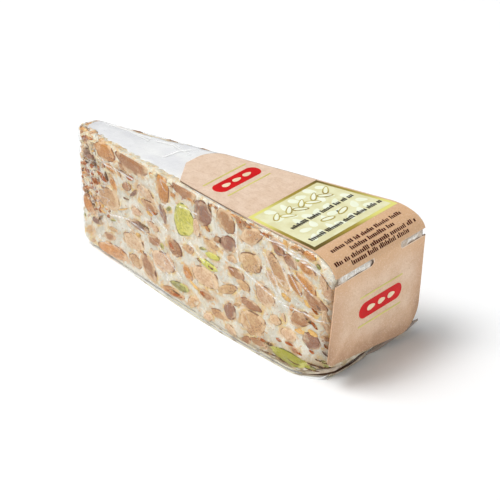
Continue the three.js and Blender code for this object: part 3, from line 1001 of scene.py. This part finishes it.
def add_all_nuts():
    """All nuts, shreds and crumbs of both cut sides, in three pieces."""
    far = []
    for layer in FAR_LAYERS:
        far += scattered(FAR, far, **layer)
    named = near_nuts()
    near = list(named)
    for layer in NEAR_LAYERS:
        near += scattered(NEAR, near, **layer)
    bits = scattered(NEAR, near, **TIP_LAYER, run=TIP_RUN)
    near += [bit for bit in bits if bit.centre[1] > TIP_LOWEST] + edge_crumbs(named)
    every = near + far
    kernels = [nut for nut in every if nut.tone not in CHIP_TONES]
    almond = nut_material("almond", (168, 100, 48), (238, 214, 176), (108, 66, 44), (112, 64, 38))
    pistachio = nut_material("pistachio", (140, 140, 32), (228, 222, 140), (104, 104, 34), (66, 64, 30))
    add_nuts("almonds", [nut for nut in kernels if nut.tone not in PISTACHIO_TONES], almond)
    add_nuts("pistachios", [nut for nut in kernels if nut.tone in PISTACHIO_TONES], pistachio)
    add_nuts("shreds", [nut for nut in every if nut.tone in CHIP_TONES], shred_material())
    return kernels


def beside_nuts(plain, nuts):
    """How close each place of the skin is to a nut's outline, and whether a nut covers it."""
    close = np.zeros(len(plain))
    covered = np.zeros(len(plain), bool)
    for side in (NEAR, FAR):
        own = np.flatnonzero(plain[:, 1] * side > 0)
        flat = plain[own][:, (0, 2)]
        for nut in (nut for nut in nuts if nut.side == side):
            size = np.linalg.norm(nut.spread, axis=0)
            boxed = np.flatnonzero(np.abs(flat - nut.centre).max(1) < size.max() + 3 * HALO)
            away = np.linalg.norm(np.linalg.solve(nut.spread, (flat[boxed] - nut.centre).T), axis=0)
            gap = (away - 1) * size.min() / HALO
            close[own[boxed]] = np.maximum(close[own[boxed]], np.exp(-gap**2))
            covered[own[boxed]] |= away < COVER
    return close, covered


def add_matrix(nuts):
    """The whipped nougat, sunk under each nut and rough at the tip."""
    skin = Skin(step=0.62, columns=40)
    x, y, z = skin.plain.T
    faces_up = np.abs(skin.normals[:, 2]) > 0.8
    bare = smoothstep(-y, plan_half(x, NEAR) - 5.4, plan_half(x, NEAR) - 3.4)
    bare *= smoothstep(-x, *WAFER_BARE)
    calm = np.where(faces_up & (bare < 0.5), 0.25, 1.0)
    edge = smoothstep(z, top_z(x) - 5, top_z(x) - 1.5) * smoothstep(-x, -96, -72)
    # Mask of the painted shade low on the near side at the wide end.
    foot = smoothstep(-z, -13, -5) * smoothstep(x, 96, 132) * (y < 0)
    crushed = smoothstep(-x, -34, -5) * smoothstep(z, 12, 26)
    tip = smoothstep(-x, -26, -2)
    p = skin.points
    lift = 0.22 * noise(p, 6, 1) + 0.16 * noise(p, 2.4, 2) + 0.1 * noise(p, 1.1, 3)
    lift += edge * 0.35 * noise(p, 1.5, 4) + tip * (0.7 * noise(p, 3.2, 7) + 0.4 * noise(p, 1.4, 8))
    halo, covered = beside_nuts(skin.plain, nuts)
    lift = np.where(covered & ~faces_up, -0.3, lift * calm)
    points = p + skin.normals * (lift - 0.25 + 0.25 * bare * faces_up)[:, None]
    values = {"along": x, "edge": edge, "foot": foot, "halo": halo, "crushed": crushed}
    piece = add_mesh("nougat_matrix", points, skin.faces, matrix_material(), values=values)
    dress(piece, "wrapped_nougat", "wrapped_nougat")


def add_wafer(name, height_at, lift):
    """Thin sheet over the whole top or foot, a little short of the cut sides."""
    x = np.linspace(3, LENGTH - 4, 300)[:, None]
    across = np.linspace(0, 1, 25)
    bare = smoothstep(-x, *WAFER_BARE)
    ragged = (0.35 + 0.6 * bare) * noise(x * (1, 0, 0), 2.2, 12)[:, None]
    corner = round_depth(3.0, x - 3)
    near = -(side_half(x, HEIGHT / 2, NEAR) - 1.5 - 2.3 * bare - 0.6 * corner + ragged)
    bared = smoothstep(-x, -52, -40) * smoothstep(x, 8, 16)
    far = side_half(x, HEIGHT / 2, FAR) - 1.3 - 1.1 * bared - 0.6 * corner + 0.35 * ragged
    y = lerp(near, far, across)
    z = height_at(x) + 0 * y
    points = sag(x + 0 * y, y, z)
    swell = 0.12 * noise(points, 9, 13)
    layers = [points + np.array([0, 0, 1]) * (lift + swell + extra)[..., None]
              for extra in (0, WAFER_THICKNESS)]
    rows, columns = y.shape
    flat = np.concatenate([layer.reshape(-1, 3) for layer in layers])
    values = {"along": np.tile(np.repeat(x[:, 0], columns), 2)}
    piece = add_mesh(name, flat, slab_faces(rows, columns), wafer_material(), values=values)
    dress(piece, "wrapped_nougat", "wrapped_nougat")


def slab_faces(rows, columns):
    """Faces of a closed slab: a lower grid of points, then an upper one."""
    count = rows * columns
    lower = [face[::-1] for face in grid_faces(rows, columns)]
    upper = grid_faces(rows, columns, start=count)
    rim = [r * columns for r in range(rows)]
    rim += [(rows - 1) * columns + c for c in range(1, columns)]
    rim += [r * columns + columns - 1 for r in range(rows - 2, -1, -1)]
    rim += [c for c in range(columns - 2, 0, -1)]
    sides = [(a, b, b + count, a + count) for a, b in zip(rim, rim[1:] + rim[:1])]
    return lower + upper + sides


# ---------------------------------------------------------------- film

# Creases of the film on the near side, through pixels of the photograph.
# Along each, the film is raised a little and whitened, partly as painted highlight.
CREASES = [
    [(105, 163), (120, 171), (134, 179)],
    [(181, 206), (190, 209), (198, 214)],
    [(246, 271), (268, 291), (286, 305)],
    [(286, 305), (308, 314), (329, 322)],
    [(150, 208), (160, 222), (168, 230)],
    [(160, 245), (172, 262), (183, 279)],
    [(232, 262), (246, 271), (259, 283)],
    [(112, 214), (130, 219), (148, 233)],
    [(238, 224), (237, 244), (240, 262)],
    [(266, 266), (272, 282), (279, 296)],
    [(281, 262), (287, 276), (293, 290)],
    [(150, 285), (172, 296), (190, 308)],
    [(265, 251), (273, 270), (282, 294)],
    [(289, 270), (296, 283), (303, 297)],
    [(294, 272), (304, 285), (314, 296)],
    [(190, 240), (198, 252), (206, 262)],
    [(262, 234), (282, 246), (304, 260), (322, 275)],
    [(274, 239), (296, 252), (316, 266)],
    [(284, 248), (304, 262), (318, 273)],
]
# Painted highlight streaks on the top, in the same way; they raise no ridge.
TOP_GLINTS = [
    [(110, 125), (128, 131), (148, 141)],
    [(118, 127), (134, 133), (150, 139)],
    [(158, 142), (174, 146), (190, 156)],
    [(165, 157), (178, 152), (196, 150)],
]
CREASE_HALF, TOP_GLINT_HALF = 0.34, 1.1


def near_path(points, path, half):
    """1 on a path of straight runs, falling to 0 at half its width."""
    best = np.full(len(points), 1e9)
    for a, b in zip(path, path[1:]):
        run = b - a
        share = np.clip((points - a) @ run / (run @ run), 0, 1)
        best = np.minimum(best, np.linalg.norm(points - a - share[:, None] * run, axis=1))
    return np.clip(1 - best / half, 0, 1)


def add_film():
    """Clear film over the whole wedge, slack between its creases and tight under the card."""
    skin = Skin(step=0.52, columns=30)
    x, y, z = skin.plain.T
    p = skin.points
    on_top = skin.normals[:, 2] > 0.7
    below = skin.normals[:, 2] < -0.7
    carded = smoothstep(x, 50, 58) * smoothstep(skin.normals[:, 2], 0.3, 0.7)
    carded = np.maximum(carded, x > LENGTH - 0.4)
    wave = 0.35 * noise(p, 12, 21) + 0.22 * noise(p, 5, 22)
    lift = np.where(on_top, 0.36 + 0.35 * wave, 0.6 + 0.35 * wave)
    lift = lerp(0.15, lift, smoothstep(z, 0, 6))
    away = np.where(on_top, plan_half(x, FAR) - y, top_z(x) - z)
    lift = np.where(y > 0, lerp(0.2, lift, smoothstep(away, 0.5, 9)), lift)
    crease_glint = np.zeros(len(p))
    near = (y < 0) & ~on_top & ~below
    # Near-side creases: a low ridge, whitened partly as painted highlight.
    for path in CREASES:
        places = np.array([near_side_at(pixel)[0] for pixel in path])
        crease_glint = np.maximum(crease_glint, near * near_path(skin.plain[:, (0, 2)], places, CREASE_HALF))
    # Top streaks: painted highlight only, with no ridge.
    for path in TOP_GLINTS:
        places = np.array([top_at(pixel) for pixel in path])
        crease_glint = np.maximum(crease_glint, on_top * near_path(skin.plain[:, :2], places, TOP_GLINT_HALF))
    # Thin winding lines on the near side, whitened like the creases, partly painted highlight.
    ridges = np.abs(noise(p * (0.5, 1, 1.2), 14, 23)) + 0.4 * np.abs(noise(p, 5, 24))
    crease_glint = np.maximum(crease_glint, 0.45 * np.clip(1 - ridges / 0.04, 0, 1) * near)
    lift = np.where(below, 0.1, lift + np.where(on_top, 0, 0.3) * crease_glint)
    lift = lerp(lift, 0.2, carded)
    points = p + skin.normals * lift[:, None]
    points[:, 2] = np.maximum(points[:, 2], FLOOR_CLEAR)
    material = film_material("film", (254, 254, 252), 0.005)
    values = {"crease_glint": crease_glint * (1 - carded), "crinkled": ~on_top & ~below}
    dress(add_mesh("film_wrap", points, skin.faces, material, values=values), "film", "wrapped_nougat")


# ---------------------------------------------------------------- card and its print


def add_card():
    """The bent card, slightly warped, with its two slots."""
    s, y = card_rows(48)
    base = card_point(s, y, 0)
    warp = 0.06 * noise(base, 14, 31)
    points = np.concatenate([
        card_point(s, y, CARD_GAP + warp).reshape(-1, 3),
        card_point(s, y, CARD_GAP + CARD_THICKNESS + warp).reshape(-1, 3),
    ])
    inside = np.minimum(y - y[:, :1], np.minimum(y[:, -1:] - y, (s[-1] - s) * 0.8))
    values = {"along": np.tile(s.reshape(-1), 2), "inside": np.tile(inside.reshape(-1), 2)}
    piece = add_mesh("card", points, slab_faces(*s.shape), card_material(), values=values, smooth=False)
    cut_notches(piece)
    dress(piece, "label_card", "label_card")


def gather_shade(flat, rims):
    """Dark towards the edges of the slots as painted shadow, more so in the far one."""
    return rims + 0.35 * (flat[:, 1] > 0)


def add_gather():
    """Crumpled film that shows in the two slots of the card."""
    gather = Print(-0.08)
    for side in (NEAR, FAR):
        inner = side * (RIM_HALF[side] - NOTCH[side] + 0.6)
        outer = side * (RIM_HALF[side] - CARD_MARGIN[side] - 1.5)
        s = FOLD_S + FOLD_Z - NOTCH_Z
        half = NOTCH_HEIGHT / 2 + 0.15
        gather.bar(s - half, s + half, min(inner, outer), max(inner, outer), dense=12, rings=6)
    piece = gather.finish("film_gather", gather_material(), gather_shade, 0.3)
    dress(piece, "film", "wrapped_nougat")


def cut_notches(piece):
    """Cuts a slot with a round inner end through the card at the fold, from either edge."""
    for side in (NEAR, FAR):
        outer = side * (RIM_HALF[side] + 8)
        inner = side * (RIM_HALF[side] - NOTCH[side] + NOTCH_HEIGHT / 2)
        turn = np.linspace(-math.pi / 2, math.pi / 2, 17)
        half = NOTCH_HEIGHT / 2
        outline = [(inner - side * half * math.cos(a), NOTCH_Z + half * math.sin(a)) for a in turn]
        outline += [(outer, NOTCH_Z + half), (outer, NOTCH_Z - half)]
        points = [(LENGTH + dx, py, pz) for dx in (-6, 6) for py, pz in outline]
        n = len(outline)
        faces = [tuple(range(n)), tuple(range(2 * n - 1, n - 1, -1))]
        faces += [(i, i + n, (i + 1) % n + n, (i + 1) % n) for i in range(n)]
        if side == NEAR:
            faces = [face[::-1] for face in faces]
        cutter = add_mesh("cutter", points, faces, piece.data.materials[0], smooth=False)
        cut = piece.modifiers.new("cut", "BOOLEAN")
        cut.operation = "DIFFERENCE"
        cut.solver = "EXACT"
        cut.object = cutter
        bpy.context.view_layer.update()
        graph = bpy.context.evaluated_depsgraph_get()
        mesh = bpy.data.meshes.new_from_object(piece.evaluated_get(graph))
        piece.modifiers.clear()
        piece.data = mesh
        bpy.data.objects.remove(cutter)


class Print:
    """Flat ink shapes on the card, given as outlines of s and y, gathered into one piece."""

    def __init__(self, lift):
        self.lift = CARD_GAP + CARD_THICKNESS + 0.06 + lift
        self.flat, self.rims, self.lifts, self.faces, self.count = [], [], [], [], 0

    def shape(self, outline, rings=3):
        """Adds a closed sliver over a star-shaped outline."""
        outline = np.array(outline, float)
        middle = outline.mean(0)
        shares = np.linspace(0, 1, rings + 1)[1:]
        flat = np.concatenate([[middle]] + [middle + (outline - middle) * k for k in shares])
        n, total = len(outline), len(flat)
        rims = np.concatenate([[0], np.repeat(shares, n)])
        faces = disc_faces(n, rings)
        under = [face[::-1] for face in shifted(faces, total)]
        a = total - n
        walls = [(a + i, a + total + i, a + total + (i + 1) % n, a + (i + 1) % n) for i in range(n)]
        turn = np.cross(outline - middle, np.roll(outline, -1, axis=0) - middle).sum()
        faces += under + walls
        if turn < 0:
            faces = [face[::-1] for face in faces]
        self.faces += shifted(faces, self.count)
        self.flat += [flat, flat]
        self.rims += [rims, rims]
        self.lifts += [np.full(total, self.lift), np.full(total, self.lift - 0.1)]
        self.count += 2 * total

    def bar(self, s0, s1, y0, y1, dense=6, rings=3):
        """Adds a rectangle, its long sides divided so that they follow the card."""
        share = np.linspace(0, 1, dense + 1)[:-1]
        outline = [(lerp(s0, s1, k), y0) for k in share] + [(s1, lerp(y0, y1, k)) for k in share]
        outline += [(lerp(s1, s0, k), y1) for k in share] + [(s0, lerp(y1, y0, k)) for k in share]
        self.shape(outline, rings)

    def oval(self, s, y, long, short, angle, point=0.0):
        """Adds an oval, drawn out towards one end by point."""
        turn = np.linspace(0, 2 * math.pi, OVAL_POINTS, endpoint=False)
        u = np.cos(turn) * long / 2
        v = np.sin(turn) * short / 2 * (1 - point * np.cos(turn))
        cos, sin = math.cos(angle), math.sin(angle)
        self.shape(np.stack([s + u * cos - v * sin, y + u * sin + v * cos], -1))

    def finish(self, name, material, shade=None, crumple=0.0):
        """Makes the piece; shade gives its shade from the flat places and the rim shares."""
        flat, rims = np.concatenate(self.flat), np.concatenate(self.rims)
        points = card_point(flat[:, 0], flat[:, 1], np.concatenate(self.lifts))
        points += crumple * (noise(points, 1.8, 61) - 0.5 * rims)[:, None] * (1, 0, 0.3)
        values = {"shade": shade(flat, rims)} if shade else None
        return add_mesh(name, points, self.faces, material, smooth=bool(crumple), values=values)

    def ink(self, name, material, shade=None):
        """Makes the piece as part of the card."""
        dress(self.finish(name, material, shade), "label_card", "label_card")


PANEL_S, PANEL_Y = (109.5, 146.0), (-24, 23)
PANEL_EDGE = 1.7
PANEL_INSET = {NEAR: 0.4, FAR: 0.9}
PANEL_RINGS, OVAL_POINTS = 14, 24
LEAF_S, LEAF_SHIFT, LEAF_ROW = 119.4, 1.4, (-14.5, 15.5)
FRUIT_S, FRUIT_Y, FRUIT_APART = 134.0, 2.0, 4.6
EMBLEMS = ((85.0, -0.3), (FOLD_S + FOLD_Z - 26.0, 2.0))
GOLD_LINE_OFF, GOLD_LINE_HALF, GOLD_LINE_REACH = 6.6, 0.35, 13.0
CAPSULE_HALF, CAPSULE_RADIUS = 9.5, 3.6

# Rows of small print: the distance along the card, where the row starts and ends, and its height.
WORD_LINES = [(128.4, -18.0, 19.5, 2.2), (139.8, -20.5, 23.0, 2.2)]
RIM_LINES = [
    (150.1, -20.5, 22.5, 1.8),
    (152.9, -12.0, 15.0, 1.8),
    (155.7, -24.0, 25.5, 1.8),
    (157.9, -16.0, 20.5, 1.8),
]


def panel_outline(inset, dense=24):
    """Outline of the panel, an inset in from its edge."""
    def edge(s, side):
        return side * (float(card_edge(s, side)) - PANEL_INSET[side] - inset)

    s0, s1 = PANEL_S[0] + inset, PANEL_S[1] - inset
    share = np.linspace(0, 1, dense + 1)[:-1]
    outline = [(lerp(s0, s1, k), edge(lerp(s0, s1, k), NEAR)) for k in share]
    outline += [(s1, lerp(edge(s1, NEAR), edge(s1, FAR), k)) for k in share]
    outline += [(lerp(s1, s0, k), edge(lerp(s1, s0, k), FAR)) for k in share]
    outline += [(s0, lerp(edge(s0, FAR), edge(s0, NEAR), k)) for k in share]
    return outline


def broken_line(ink, s, y0, y1, height, random):
    """A row of small strokes in groups, plain stand-ins for a line of small print."""
    y = y0
    while y < y1:
        for _ in range(int(random.integers(3, 11))):
            width = random.uniform(0.6, 0.9)
            if y + width > y1:
                return
            tall = height * random.choice((0.7, 0.75, 1.0))
            ink.bar(s + height / 2 - tall, s + height / 2, y, y + width, dense=1)
            y += width + 0.32
        y += 0.9


def panel_shade(flat, _):
    """Dark at the panel's far tip-side corner and its near rim-side corner, light at the others."""
    along = (flat[:, 0] - PANEL_S[0]) / (PANEL_S[1] - PANEL_S[0])
    across = (flat[:, 1] - PANEL_Y[0]) / (PANEL_Y[1] - PANEL_Y[0])
    return np.where(np.abs(along - 0.5) < 0.6, np.abs(across - along), 0.3)


def add_gold():
    """The panel's edge, and a thin line on either side of each emblem."""
    gold = Print(0.0)
    gold.shape(panel_outline(0), PANEL_RINGS)
    for s, y in EMBLEMS:
        for line in (s - GOLD_LINE_OFF, s + GOLD_LINE_OFF):
            gold.bar(line - GOLD_LINE_HALF, line + GOLD_LINE_HALF, y - GOLD_LINE_REACH, y + GOLD_LINE_REACH)
    gold.ink("print_gold", gold_material(), panel_shade)


def add_panel():
    """The pale panel."""
    panel = Print(0.05)
    panel.shape(panel_outline(PANEL_EDGE), PANEL_RINGS)
    panel.ink("print_panel", ink_material("panel_ink", (219, 214, 168), (229, 227, 188), 6))


def add_faint_almonds(random):
    """Faint almond shapes strewn over the panel."""
    white = Print(0.1)
    for k in range(7):
        for j in range(5):
            s = 114.5 + 6.2 * j + random.uniform(-1, 1)
            y = lerp(-18.5, 19.5, (k + 0.5 * (j % 2)) / 6.5) + random.uniform(-1, 1)
            if abs(y - 0.5) < 20 - (142 - s) * 0.12:
                white.oval(s, y, random.uniform(4.6, 5.8), random.uniform(2.6, 3.4),
                           random.uniform(0, 3.1), 0.3)
    white.ink("print_almonds", ink_material("white_ink", (234, 238, 212), (240, 242, 222), 5))


def add_sprig(name, lift, leaf, fruit, material):
    """A staggered row of leaves over two fruits, each an oval of the given length and width."""
    sprig = Print(lift)
    for k in range(9):
        shift, lean = (LEAF_SHIFT, 0.9) if k % 2 else (-LEAF_SHIFT, 2.2)
        sprig.oval(LEAF_S + shift, lerp(*LEAF_ROW, k / 8), *leaf, lean, 0.3)
    for side in (NEAR, FAR):
        sprig.oval(FRUIT_S, FRUIT_Y + FRUIT_APART * side, *fruit, 0.25 * side)
    sprig.ink(name, material)


def add_lines(name, lift, rows, material, random):
    """Rows of small strokes."""
    ink = Print(lift)
    for row in rows:
        broken_line(ink, *row, random)
    ink.ink(name, material)


def add_emblems():
    """Red capsules with three almond shapes each."""
    red = Print(0.0)
    turn = np.linspace(0, 2 * math.pi, 2 * OVAL_POINTS, endpoint=False)
    ends = CAPSULE_HALF * np.sign(np.cos(turn))
    capsule = np.stack([np.sin(turn) * CAPSULE_RADIUS, np.cos(turn) * CAPSULE_RADIUS + ends], -1)
    cream = Print(0.06)
    for s, y in EMBLEMS:
        red.shape(capsule + (s, y))
        for k in (-1, 0, 1):
            cream.oval(s, y + 6.2 * k, 4.6, 2.4, math.pi / 2, 0.3)
    red.ink("print_red", ink_material("red_ink", (196, 4, 10), (208, 10, 14), 5))
    cream.ink("print_cream", ink_material("cream_ink", (236, 216, 184), (226, 204, 170), 4))


def add_print():
    """All the flat colour on the card."""
    random = np.random.default_rng(41)
    add_gold()
    add_panel()
    add_faint_almonds(random)
    olive = ink_material("sprig_ink", (158, 138, 66), (196, 182, 100), 8, 0.35)
    pale = ink_material("pale_ink", (240, 241, 222), (234, 237, 206), 5)
    dark = ink_material("dark_ink", (22, 8, 4), (38, 18, 10), 4)
    brown = ink_material("brown_ink", (62, 8, 0), (78, 16, 4), 4)
    add_sprig("print_sprig", 0.15, (7.0, 2.7), (3.0, 7.0), olive)
    add_sprig("print_sprig_fill", 0.2, (5.6, 1.6), (1.8, 5.6), pale)
    add_lines("print_dark", 0.15, WORD_LINES, dark, random)
    add_lines("print_small", 0.0, RIM_LINES, brown, random)
    add_emblems()


# ---------------------------------------------------------------- hem and flap of the film


FOLD_FROM = -25.2
FLAP_TUCK = 2.7


def foot_path(start, end_y):
    """Points round the foot from a place on the near side round to the wide end."""
    corner = CORNER_BASE[NEAR]
    turn = np.linspace(0, math.pi / 2, 26)
    x = np.concatenate([np.arange(start, LENGTH - corner, 1.5), LENGTH - corner * (1 - np.sin(turn))])
    y = -(plan_half(x, NEAR) - round_depth(corner, LENGTH - x))
    last = np.linspace(y[-1], end_y, 12)[1:]
    x = np.concatenate([x, np.full(len(last), LENGTH)])
    y = np.concatenate([y, last])
    tuck = FLAP_TUCK * np.clip((x - LENGTH + 3.4) / 3.4, 0, 1)
    return x - tuck, y


def ribbon(name, x, y, section, material, rise=0.0, width=1.0):
    """Sheet along a foot path; its section is rows of an offset outwards, a height and a whitening, partly
    painted highlight.
    """
    base = sag(x, y, np.full(len(x), 0.3))
    run = np.gradient(base, axis=0)
    out = np.stack([run[:, 1], -run[:, 0], 0 * run[:, 0]], -1)
    out /= np.linalg.norm(out, axis=1, keepdims=True)
    share = np.arange(len(x))
    taper = np.clip(np.minimum(share, len(x) - 1 - share) / 6, 0.15, 1) * width
    ripple = 1 + 0.22 * noise(base, 5, 51) + 0.15 * noise(base, 2, 52)
    section = np.array(section)
    points = base[:, None] + out[:, None] * (section[:, 0] * (taper * ripple)[:, None])[..., None]
    points[..., 2] = section[:, 1] * (0.6 + 0.4 * taper)[:, None] + np.resize(rise, (len(x), 1))
    rows, columns = points.shape[:2]
    faces = grid_faces(rows, columns, closed=True)
    ends = [tuple(range(columns)), tuple((rows - 1) * columns + c for c in range(columns))[::-1]]
    return add_mesh(name, points.reshape(-1, 3), faces + ends, material,
                    values={"crease_glint": np.tile(section[:, 2], rows)})


def add_hem():
    """Folded hem of the film along the near foot."""
    x, y = foot_path(34, -3)
    section = [(-0.5, 0.1, 0), (0.5, 0.1, 0.1), (0.65, 0.25, 0.3), (0.45, 0.7, 0.1), (-0.1, 0.6, 0)]
    wide = lerp(0.3, 1, smoothstep(x, 140, 152))
    hem = film_material("hem_film", (238, 234, 222), 0.3)
    dress(ribbon("film_hem", x, y, section, hem, width=wide), "film", "film_lip")


def add_pressed_edges():
    """Two pressed edges of the film, one over the other."""
    seam = seam_material()
    for name, start, out, up in (("film_edge_low", 40, 0.16, 0.3), ("film_edge_high", 62, 0.3, 2.0)):
        section = [(out - 0.1, up, 0), (out + 0.15, up - 0.12, 0), (out + 0.2, up + 0.2, 0),
                   (out, up + 0.3, 0)]
        dress(ribbon(name, *foot_path(start, -22), section, seam), "film", "film_lip")


def add_fold():
    """The folded seam that climbs from the corner to the card, and the milky film under it."""
    x, y = foot_path(140, -2)
    x, y = x[y > FOLD_FROM], y[y > FOLD_FROM]
    climb = smoothstep(y, -26, -12)
    rise = 0.6 + 1.2 * climb + 1.3 * smoothstep(y, -12, -2)
    section = [(0.2, 0.4, 0), (0.7, 0.3, 0), (0.9, 0.9, 0), (0.5, 1.15, 0)]
    # The seam's dark brown is painted shade of the fold of clear film and the gap under it.
    brown = ink_material("fold", (50, 28, 12), (76, 46, 22), 5)
    fold = ribbon("film_fold", x + 1.2 * climb, y, section, brown, rise, 0.6 + 0.6 * climb)
    dress(fold, "film", "film_lip")
    section = [(0.0, 0.3, 0), (0.5, 0.2, 0), (0.6, 3.6, 0), (0.1, 3.8, 0)]
    milky = ink_material("apron", (206, 192, 174), (176, 158, 136), 2.5, 0.35)
    dress(ribbon("film_apron", x + 0.7 * climb, y, section, milky, 0.4 * climb), "film", "film_lip")


def add_flap():
    """Flap of film at the foot of the wide end, its grey-brown haze painted shade."""
    y = np.linspace(-1, 31, 34)
    climb = smoothstep(y, 4, 26)
    section = [(-0.8, 0.3, 0), (0.8, 0.1, 0), (1.5, 0.35, 0.3), (0.9, 1.5, 0), (-0.6, 1.6, 0)]
    # Grey-brown haze over clear film: painted shade, where the flap lies in the cast shadow.
    flap_in_shade = film_material("flap_film", (160, 142, 128), 0.7)
    flap = ribbon("film_tab", LENGTH - FLAP_TUCK + 2.3 * climb, y, section, flap_in_shade, 3.2 * climb)
    dress(flap, "film", "film_flap")


# ---------------------------------------------------------------- surroundings


FLOOR_HALF = 3.0
LIGHT_TARGET = (0, 0, 0.03)
COOL_WHITE, WHITE = (0.95, 0.98, 1), (1, 1, 1)
WORLD_STRENGTH = 0.25

# Name, place, size and power of each light, in metres and watts, and its colour.
LIGHTS = [
    ("key", (-0.84, -0.67, 2.25), (1.2, 1.2), 42, WHITE),
    ("sky", (-1.3, -0.3, 1.75), (2.8, 2.8), 23, WHITE),
    ("end_fill", (2.0, -0.9, 0.35), (1.0, 0.5), 18, COOL_WHITE),
    ("side_fill", (-0.5, -2.2, 0.5), (1.2, 0.6), 4.5, WHITE),
]


def add_floor():
    """A sheet of white paper under the part."""
    mesh = bpy.data.meshes.new("floor")
    corners = [(FLOOR_HALF * x, FLOOR_HALF * y, 0) for x, y in ((-1, -1), (1, -1), (1, 1), (-1, 1))]
    mesh.from_pydata(corners, [], [(0, 1, 2, 3)])
    mesh.materials.append(floor_material())
    floor = bpy.data.objects.new("floor", mesh)
    bpy.context.scene.collection.objects.link(floor)


def add_light(name, place, size, power, colour):
    """An area light that faces the part."""
    data = bpy.data.lights.new(name, "AREA")
    data.shape = "RECTANGLE"
    data.size, data.size_y = size
    data.energy = power
    data.color = colour
    lamp = bpy.data.objects.new(name, data)
    lamp.location = place
    lamp.rotation_euler = (Vector(LIGHT_TARGET) - Vector(place)).to_track_quat("-Z", "Y").to_euler()
    bpy.context.scene.collection.objects.link(lamp)


def add_lights():
    """A faint even glow all round and the area lights."""
    world = bpy.data.worlds.new("studio")
    world.use_nodes = True
    glow = world.node_tree.nodes["Background"].inputs
    glow["Color"].default_value = (*COOL_WHITE, 1)
    glow["Strength"].default_value = WORLD_STRENGTH
    bpy.context.scene.world = world
    for light in LIGHTS:
        add_light(*light)
    bpy.context.scene.view_settings.view_transform = "Standard"


add_camera()
add_floor()
add_lights()
add_matrix(add_all_nuts())
add_wafer("wafer_top", top_z, -0.2)
add_wafer("wafer_foot", bottom_z, 0.15)
add_film()
add_gather()
add_card()
add_print()
add_hem()
add_pressed_edges()
add_fold()
add_flap()
